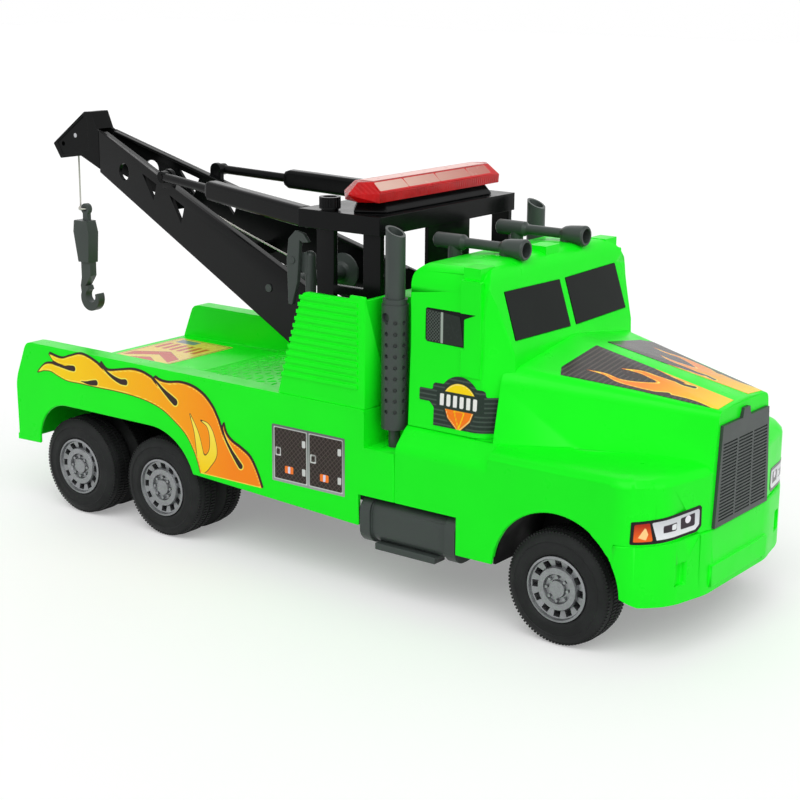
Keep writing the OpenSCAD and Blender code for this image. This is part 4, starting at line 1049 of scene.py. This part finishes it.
class TOW_OT_flank_flames(Operator):
    """Lays a sheet of flames along each side wall, over the rear wheel arch"""

    bl_idname = "tow.flank_flames"
    bl_label = "Flank flames"

    def execute(self, context):
        paint = context.scene.tow_paint
        body = curved(
            [(-6.8, 49), (-10.7, 58.1), (-16.1, 66.4), (-23.1, 70.7), (-30.3, 73.8), (-35.1, 77.9), (-37.2, 83.8)],
            [(-36.9, 75)],
            [(-41.4, 85.5), (-46.1, 92.8), (-53.3, 99.1), (-62.3, 102.7), (-72.3, 103.6), (-82.5, 102.1),
             (-89.3, 102.3), (-94.1, 103.9)],
            [(-91.2, 98.2)],
            [(-97, 103), (-104.7, 105.2), (-113.4, 105.6), (-123.2, 103.9), (-133.2, 102), (-137.6, 102.6),
             (-141.6, 105.9)],
            [(-137.7, 100.6)],
            [(-144.7, 105), (-151.9, 107.6), (-160.1, 108.8), (-169.5, 106.1), (-178.1, 103.5), (-189.4, 105)],
            [(-185.8, 101.3), (-179.3, 99.9), (-169.9, 100)],
            [(-181.3, 98.3), (-188.9, 98.5), (-194.7, 96.7), (-201, 91.2)],
            [(-194.9, 93.3), (-188.2, 93.7), (-180.8, 91.5), (-172.4, 89.7), (-161.2, 89.8), (-143.7, 89.7),
             (-130.2, 89.9), (-114.2, 89.4), (-100.2, 87.8), (-88.3, 84.7), (-78.2, 79.3), (-68.3, 72.1),
             (-61.9, 63.1), (-58.7, 56.1), (-56.5, 49)],
        )
        drops = tongues(
            [(-166.6, 98.6, 1.9), (-170.5, 98.4, 1.7), (-176, 98.2, 0.9), (-186, 98.6, 0.2)],
            [(-119.6, 96.8, 2), (-124, 96.6, 1.7), (-130, 98.2, 1.3), (-135.5, 100.8, 0.9), (-141, 104.6, 0.4)],
            [(-77, 91, 2.4), (-81, 93.4, 2), (-86, 96.6, 1.3), (-90.5, 100, 0.9), (-95.6, 104.2, 0.4)],
            [(-146.4, 92.3, 1.9), (-150.5, 91.6, 1.6), (-155, 91.1, 0.9), (-160, 91.2, 0.2)],
            [(-23.7, 60, 1.9), (-27, 63.6, 1.6), (-31.5, 69, 1.1), (-36, 76, 0.8), (-39.6, 86.5, 0.4)],
        )
        inner = melted(
            [(-55, 53, 3.2), (-57, 64, 2.6), (-59.5, 75, 1.6), (-64.3, 85.4, 0.2)],
            [(-52, 56, 3.4), (-46, 64, 3.2), (-46.4, 74, 2), (-49.5, 80.6, 1.1), (-55.4, 83, 0.2)],
        )
        halo = union(grow(body, 0.5), grow(moved(body, 0.8, 1.1), 0.5))
        inks = [
            *flame_inks(body, drops, fade(paint.flame_root, paint.flame_tip, "X", -30, -185), paint, halo),
            (overlap(grow(inner, 0.4), grow(body, -1)), paint.ink),
            (overlap(inner, grow(body, -1)), fade(paint.flame_tip, paint.flame_edge, "Z", 52, 84)),
        ]
        both_sides(
            "flank_flames", overlap(halo, block(-215, 49.4, 215, 62.6)), (-216, 48), (-4, 112), inks, paint.ink,
            on_flank, 0.3,
        )
        return {"FINISHED"}


class TOW_OT_hood_flames(Operator):
    """Lays the dark ribbed panels with flames on both halves of the hood"""

    bl_idname = "tow.hood_flames"
    bl_label = "Hood panels"

    def execute(self, context):
        paint = context.scene.tow_paint
        panel = outline((172, 5.6), (258.5, 8.6), (258.5, 25.6), (216, 37.5), (177, 51), (172.5, 43))
        body = melted(
            [(262, 17, 11), (246, 17, 9), (234, 20, 8), (222, 27, 5.4), (212, 32, 3.4), (203, 34.6, 2.2),
             (194, 33.4, 1.3), (184, 35.9, 0.2)],
            [(240, 16, 6), (228, 17.6, 4.6), (216, 17.4, 3), (207, 17.2, 2), (197, 21, 0.2)],
            [(246, 11, 3.4), (234, 8.6, 2.2), (222, 8.2, 1.2), (210, 7, 0.2)],
        )
        drops = tongues(
            [(209.4, 22.6, 2.6), (206, 24.2, 2.4), (202.4, 24.6, 1.4), (198, 22.4, 0.3)],
            [(236, 11.4, 1.5), (229.8, 13, 1.2), (222, 11.4, 0.8), (213, 9.6, 0.3)],
            [(230, 29.8, 1.9), (225, 33, 1.6), (219, 35.4, 0.6), (212, 37.4, 0.3)],
        )
        colour = fade(paint.flame_tip, paint.flame_root, "X", 256, 216)
        inks = flame_inks(body, drops, colour, paint, grow(body, 0.8))
        ribbed = stripes((0.012, 0.008, 0.008), (0.06, 0.045, 0.04), (1, 0, 0), 3.0, 0.4)
        both_sides("hood_panel", panel, (170, 4), (258, 54), inks, ribbed, self.place_for, 0.16)
        return {"FINISHED"}

    def place_for(self, side):
        return cast_on(["hood_shell"], lambda u, v: (u, side * v, 300), (0, 0, -1))


class TOW_OT_door_badges(Operator):
    """Lays a plain shield on a dark ribbed plate on each door"""

    bl_idname = "tow.door_badges"
    bl_label = "Door badges"

    def execute(self, context):
        dark, line = (0.014, 0.028, 0.02), (0.05, 0.075, 0.06)
        plate = union(
            outline((110, 106), (148, 106), (150, 108), (150, 126), (100, 126), (100, 119), (107, 119), (110, 116)),
            grow(block(111, 118, 30, 10), 2.0), disc(127, 122, 13.5),
        )
        shield = union(
            overlap(disc(127, 120, 11.5), block(110, 120, 34, 20)),
            outline((115.8, 121), (138.2, 121), (134.5, 111.5), (127, 104.6), (119.5, 111.5)),
        )
        wedge = outline((123.6, 116), (130.4, 116), (127, 106.4))
        inks = [
            (grow(shield, 1.3), dark),
            (shield, fade((1.0, 0.2, 0.004), (1.0, 0.7, 0.0), "Z", 116, 124)),
            (line_within(shield, 0.6, 0.5), (1.0, 0.8, 0.25)),
            (overlap(line_of(wedge, 0.7), shield), (1.0, 0.66, 0.0)),
            (grow(block(112.5, 117.2, 29, 8.2), 0.8), dark),
            (union(*(block(114 + 4.4 * k, 118, 2.6, 6.6) for k in range(6))), (0.86, 0.85, 0.83)),
        ]
        ribbed = stripes(dark, line, (0, 0, 1), 2.6, 0.35)
        both_sides("door_badge", plate, (98, 103.6), (152, 137), inks, ribbed, self.place_for, 0.2)
        return {"FINISHED"}

    def place_for(self, side):
        return cast_on(["cab_shell", "hood_shell"], lambda u, v: (u, side * 120, v), (0, -side, 0))


class TOW_OT_lockers(Operator):
    """Lays the printed pair of locker doors on each flank"""

    bl_idname = "tow.lockers"
    bl_label = "Locker doors"

    def execute(self, context):
        dark, bright = (0.022, 0.015, 0.012), (0.62, 0.64, 0.62)
        doors = [block(x, 58.4, 24, 30.8) for x in (3.8, 30.4)]
        lips = [line_of(door, 0.7, -0.4) for door in doors]
        hinges = [block(x, z, 2.6, 4.2) for x in (24.6, 51.2) for z in (63, 80)]
        latches = [line_of(block(x, 72.6, 3.6, 4.4), 0.8) for x in (4.6, 31.2)]
        inks = [
            (union(*doors), diamonds(dark, (0.075, 0.058, 0.05), 3.2)),
            *((union(*marks), bright) for marks in (lips, hinges, latches)),
            (union(*(grow(block(x, 63, 5.4, 3.4), 0.5) for x in (12, 38.6))), (0.95, 0.2, 0.02)),
            (union(*(block(x, 62.6, 1.8, 4.2) for x in (13.8, 40.4))), (0.72, 0.72, 0.9)),
        ]
        ground = fade((0.33, 0.36, 0.35), (0.12, 0.14, 0.13), "Z", 58, 92)
        sheet = block(1.6, 56.4, 54.8, 34.6)
        both_sides("locker_doors", sheet, (0, 55), (58, 92), inks, ground, on_flank, 0.18)
        return {"FINISHED"}


class TOW_OT_headlamps(Operator):
    """Lays the printed headlamps round the corners of the front"""

    bl_idname = "tow.headlamps"
    bl_label = "Headlamps"

    def execute(self, context):
        black, chrome, amber = (0.006, 0.006, 0.006), (0.55, 0.57, 0.6), (0.85, 0.12, 0.01)
        case = outline(
            (-23, 67), (-22.6, 78.4), (-12, 79.2), (4, 80), (20.4, 81), (21.6, 80), (21.8, 70), (18.6, 67.6), (2, 67),
        )
        lamp = outline((-21.8, 68), (-21.4, 77.4), (-13.8, 78), (-11.8, 68.2))
        glow = outline((-19.6, 70.4), (-16, 76), (-14.4, 72), (-15.6, 68.9))
        bowl = outline(
            (-12.6, 78.1), (4, 78.8), (19.6, 79.6), (20.4, 78.6), (20.4, 71), (17.6, 68.8), (2, 68.2), (-9.6, 68.4),
        )
        dark = union(
            outline((-5.6, 71.6), (-5.8, 75.4), (3.6, 75.8), (3.6, 71.4)),
            grow(outline((7, 71.6), (6.8, 76.8), (16.4, 77.6), (16.6, 71.8)), 0.5),
        )
        inks = [
            (lamp, fade((0.45, 0.02, 0.005), amber, "Z", 77, 70)),
            (glow, (1.0, 0.62, 0.25)),
            (bowl, fade((0.8, 0.82, 0.85), chrome, "Z", 69, 80)),
            (dark, (0.03, 0.02, 0.03)),
            (outline((0.2, 72.2), (0.2, 75), (3.4, 75.2), (3.4, 72)), (0.8, 0.82, 0.84)),
            (disc(11.8, 75.6, 2.1), (0.86, 0.82, 0.9)),
        ]
        both_sides(
            "headlamp", grow(case, 0.4), (-26, 64), (28, 88), inks, black, self.place_for, 0.1
        )
        return {"FINISHED"}

    def place_for(self, side):
        heading = Vector((math.cos(LAMP_HEADING), math.sin(LAMP_HEADING) * side, 0))
        across = Vector((heading.y, -heading.x, 0)) * side
        away = Vector((250, side * 61, 0)) + heading * 60
        return cast_on(["hood_shell", "front_bumper"], lambda u, v: (*(away + across * u).xy, v), -heading)


class TOW_OT_deck_sheet(Operator):
    """Lays the printed sheet with plain chevrons on the deck"""

    bl_idname = "tow.deck_sheet"
    bl_label = "Deck sheet"

    def execute(self, context):
        yellow, red, grey, dark = (0.93, 0.66, 0.12), (0.62, 0.07, 0.03), (0.2, 0.2, 0.28), (0.2, 0.04, 0.01)
        sheet = block(-216, -62, 51, 126)
        chevrons = [
            outline((-212, y), (-190.5, y + 14), (-169, y), (-169, y + 11), (-190.5, y + 25), (-212, y + 11))
            for y in (-58, -38, -18, 2)
        ]
        inks = [
            (union(*chevrons), red),
            (union(*(line_of(chevron, 0.7) for chevron in chevrons)), dark),
            (union(*(block(x, 31, 4, 17) for x in range(-211, -172, 7))), red),
            (block(-210, 51.5, 18, 8.5), grey),
            (line_within(sheet, 1.0, 1.4), dark),
        ]
        sticker("deck_sheet", sheet, (-218, -64), (-163, 66), inks, yellow, on_level(86.0), 0.2)
        return {"FINISHED"}


class TOW_OT_light_bar(Operator):
    """Makes the panels in front of the light bar, pale with painted reflection and paler towards the truck's right,
    and the printed strip on its top, whose pale ground is painted highlight
    """

    bl_idname = "tow.light_bar"
    bl_label = "Light bar"

    def execute(self, context):
        seams = [-57.5, -30.5, 0.2, 31.5, 52.5]
        # Painted reflection: the panels between the seams are pale pink over the lens red, paler towards the truck's
        # right
        painted_reflection_panels = union(*(
            outline((near + 0.7, 229.4), (far - 0.7, 229.4), (far - 1.0, 232.6), (near + 1.0, 232.6))
            for near, far in zip(seams, seams[1:])
        ))
        sticker(
            "light_bar_front_painted_reflection", outline((-58.5, 228.2), (54, 228.2), (52.5, 233.2), (-57, 233.2)),
            (-60, 227), (56, 234.4), [(grow(painted_reflection_panels, 0.5), fade((0.74, 0.48, 0.4), (0.5, 0.16, 0.13), "Y", -50, 50))],
            (0.6, 0.006, 0.008), cast_on(["light_bar_lens"], lambda u, v: (400, u, v), (-1, 0, 0)), 0.2,
        )
        dots = union(*(disc(48, y, 0.9) for y in (-44, -22, 0, 22, 44)))
        # Painted highlight: the strip's pale pink ground on top of the lens, with darker red dots on it
        sticker(
            "light_bar_top_painted_highlight", block(43, -55, 10, 110), (42, -56), (54, 56), [(dots, (0.5, 0.12, 0.1))],
            (0.86, 0.5, 0.45), on_level(box_mm("light_bar_lens")[1].z), 0.25,
        )
        return {"FINISHED"}


class TOW_OT_strings(Operator):
    """Makes the tow string over the boom and its hanging run down to the hook"""

    bl_idname = "tow.strings"
    bl_label = "Tow string"

    def execute(self, context):
        low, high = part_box("drop_string")
        radius, x = (high.x - low.x) / 2, (low.x + high.x) / 2
        over = [Vector(p) * MM for p in smooth_line(BOOM_STRING, 6)]
        self.tube("boom_string_run", over, radius, "boom", ["boom_string"])
        for name, start, length, share, body, nodes in (
            ("drop_string_upper", high.z, UPPER_STRING, 1.0, "drop_line", ["drop_string"]),
            ("drop_string_lower", low.z + LOWER_STRING, LOWER_STRING, 0.97, "hook_line", ()),
        ):
            path = [Vector((x, 0, start - length * k / 17)) for k in range(18)]
            self.tube(name, path, radius * share, body, nodes)
        return {"FINISHED"}

    def tube(self, name, path, radius, body, nodes):
        """A round string along a path in the truck's middle plane, with flat ends."""
        up = Vector((0, 1, 0))
        angles = [2 * math.pi * k / STRING_SIDES for k in range(STRING_SIDES)]
        work = bmesh.new()
        rings = []
        for k, spot in enumerate(path):
            out = (path[min(k + 1, len(path) - 1)] - path[max(k - 1, 0)]).normalized().cross(up)
            rings.append([
                work.verts.new(spot + radius * (math.cos(angle) * up + math.sin(angle) * out)) for angle in angles
            ])
        for ring, after in zip(rings, rings[1:]):
            for k in range(STRING_SIDES):
                nxt = (k + 1) % STRING_SIDES
                work.faces.new((ring[k], ring[nxt], after[nxt], after[k]))
        work.faces.new(rings[0][::-1])
        work.faces.new(rings[-1])
        bmesh.ops.recalc_face_normals(work, faces=work.faces)
        for face in work.faces:
            face.smooth = len(face.verts) == 4
        return finished(from_work(name, work), body, palette()["white_string"], nodes)


class TOW_OT_stage(Operator):
    """Sets the floor, the soft lamps, the world and the camera"""

    bl_idname = "tow.stage"
    bl_label = "Studio"

    def execute(self, context):
        setup = context.scene.tow_stage
        self.floor()
        self.world(setup.lamp)
        for name, place, strength, spread_angle in SUNS:
            self.sun(name, Vector(place), strength * setup.lamp, spread_angle)
        self.camera(context, setup)
        context.scene.view_settings.view_transform = "Standard"
        return {"FINISHED"}

    def seen_directly(self, tree):
        """1 where the camera, a mirror or glass looks, and 0 for the light that falls on things."""
        rays = node(tree, "LightPath").outputs
        seen = maths(tree, "MAXIMUM", rays["Is Camera Ray"], rays["Is Glossy Ray"])
        return maths(tree, "MAXIMUM", seen, rays["Is Transmission Ray"])

    def floor(self):
        mesh = bpy.data.meshes.new("floor")
        mesh.from_pydata([(-6, -6, 0), (6, -6, 0), (6, 6, 0), (-6, 6, 0)], [], [(0, 1, 2, 3)])
        material, tree, place = fresh_material("floor_paper")
        shade = spread(tree, noise(tree, place, 5.0), 0.78, 0.8)
        feed(tree, tree.nodes["Principled BSDF"], {
            "Base Color": node(tree, "CombineColor", {"Red": shade, "Green": shade, "Blue": shade}).outputs[0],
            "Roughness": 0.7,
            GLOSS: 0.12,
            "Emission Color": (1, 1, 1, 1),
            "Emission Strength": maths(tree, "MULTIPLY", self.seen_directly(tree), FLOOR_LIFT),
        })
        mesh.materials.append(material)
        made_object("floor", mesh)

    def world(self, strength):
        world = bpy.data.worlds.new("studio")
        bpy.context.scene.world = world
        world.use_nodes = True
        tree = world.node_tree
        level = spread(tree, self.seen_directly(tree), SKY_LIGHT * strength, 1.0)
        feed(tree, tree.nodes["Background"], {"Color": (1, 1, 1, 1), "Strength": level})

    def sun(self, name, place, strength, spread_angle):
        light = bpy.data.lights.new(name, "SUN")
        light.energy = strength
        light.angle = math.radians(spread_angle)
        holder = made_object(name, light)
        holder.location = place
        holder.rotation_euler = (-place).to_track_quat("-Z", "Y").to_euler()

    def camera(self, context, setup):
        data = bpy.data.cameras.new("Camera")
        data.lens = setup.lens
        data.sensor_width = 36
        data.clip_start = 0.01
        holder = made_object("Camera", data)
        level, rise = math.cos(setup.pitch), math.sin(setup.pitch)
        ahead = Vector((level * math.cos(setup.yaw), level * math.sin(setup.yaw), rise))
        right = ahead.cross(Vector((0, 0, 1))).normalized()
        turn = Matrix((right, right.cross(ahead), -ahead)).transposed().to_4x4()
        holder.matrix_world = Matrix.Translation(setup.place) @ turn @ Matrix.Rotation(setup.roll, 4, "Z")
        context.scene.camera = holder


class TOW_PT_panel(Panel):
    """Lists the truck's pieces in the sidebar"""

    bl_idname = "TOW_PT_panel"
    bl_label = "Tow truck"
    bl_space_type = "VIEW_3D"
    bl_region_type = "UI"
    bl_category = "Tow truck"

    def draw(self, context):
        for group in SETTINGS:
            box = self.layout.box()
            settings = getattr(context.scene, group)
            for name in settings.bl_rna.properties.keys():
                if name not in ("rna_type", "name"):
                    box.prop(settings, name)
        for operator in STEPS:
            self.layout.operator(operator.bl_idname)


SETTINGS = {
    "tow_paint": TowPaint, "tow_shell": TowShell, "tow_wheels": TowWheels, "tow_stickers": TowStickers,
    "tow_stage": TowStage,
}
STEPS = (
    TOW_OT_stage, TOW_OT_strings, TOW_OT_finishes, TOW_OT_shells, TOW_OT_trim, TOW_OT_wheels, TOW_OT_ramp,
    TOW_OT_windows, TOW_OT_flank_flames, TOW_OT_hood_flames, TOW_OT_door_badges, TOW_OT_lockers,
    TOW_OT_headlamps, TOW_OT_deck_sheet, TOW_OT_light_bar,
)


def register():
    for cls in (*SETTINGS.values(), *STEPS, TOW_PT_panel):
        bpy.utils.register_class(cls)
    for name, cls in SETTINGS.items():
        setattr(bpy.types.Scene, name, PointerProperty(type=cls))


def unregister():
    for name in SETTINGS:
        delattr(bpy.types.Scene, name)
    for cls in reversed((*SETTINGS.values(), *STEPS, TOW_PT_panel)):
        bpy.utils.unregister_class(cls)


def main():
    register()
    for operator in STEPS:
        group, name = operator.bl_idname.split(".")
        getattr(getattr(bpy.ops, group), name)()


if __name__ == "__main__":
    main()
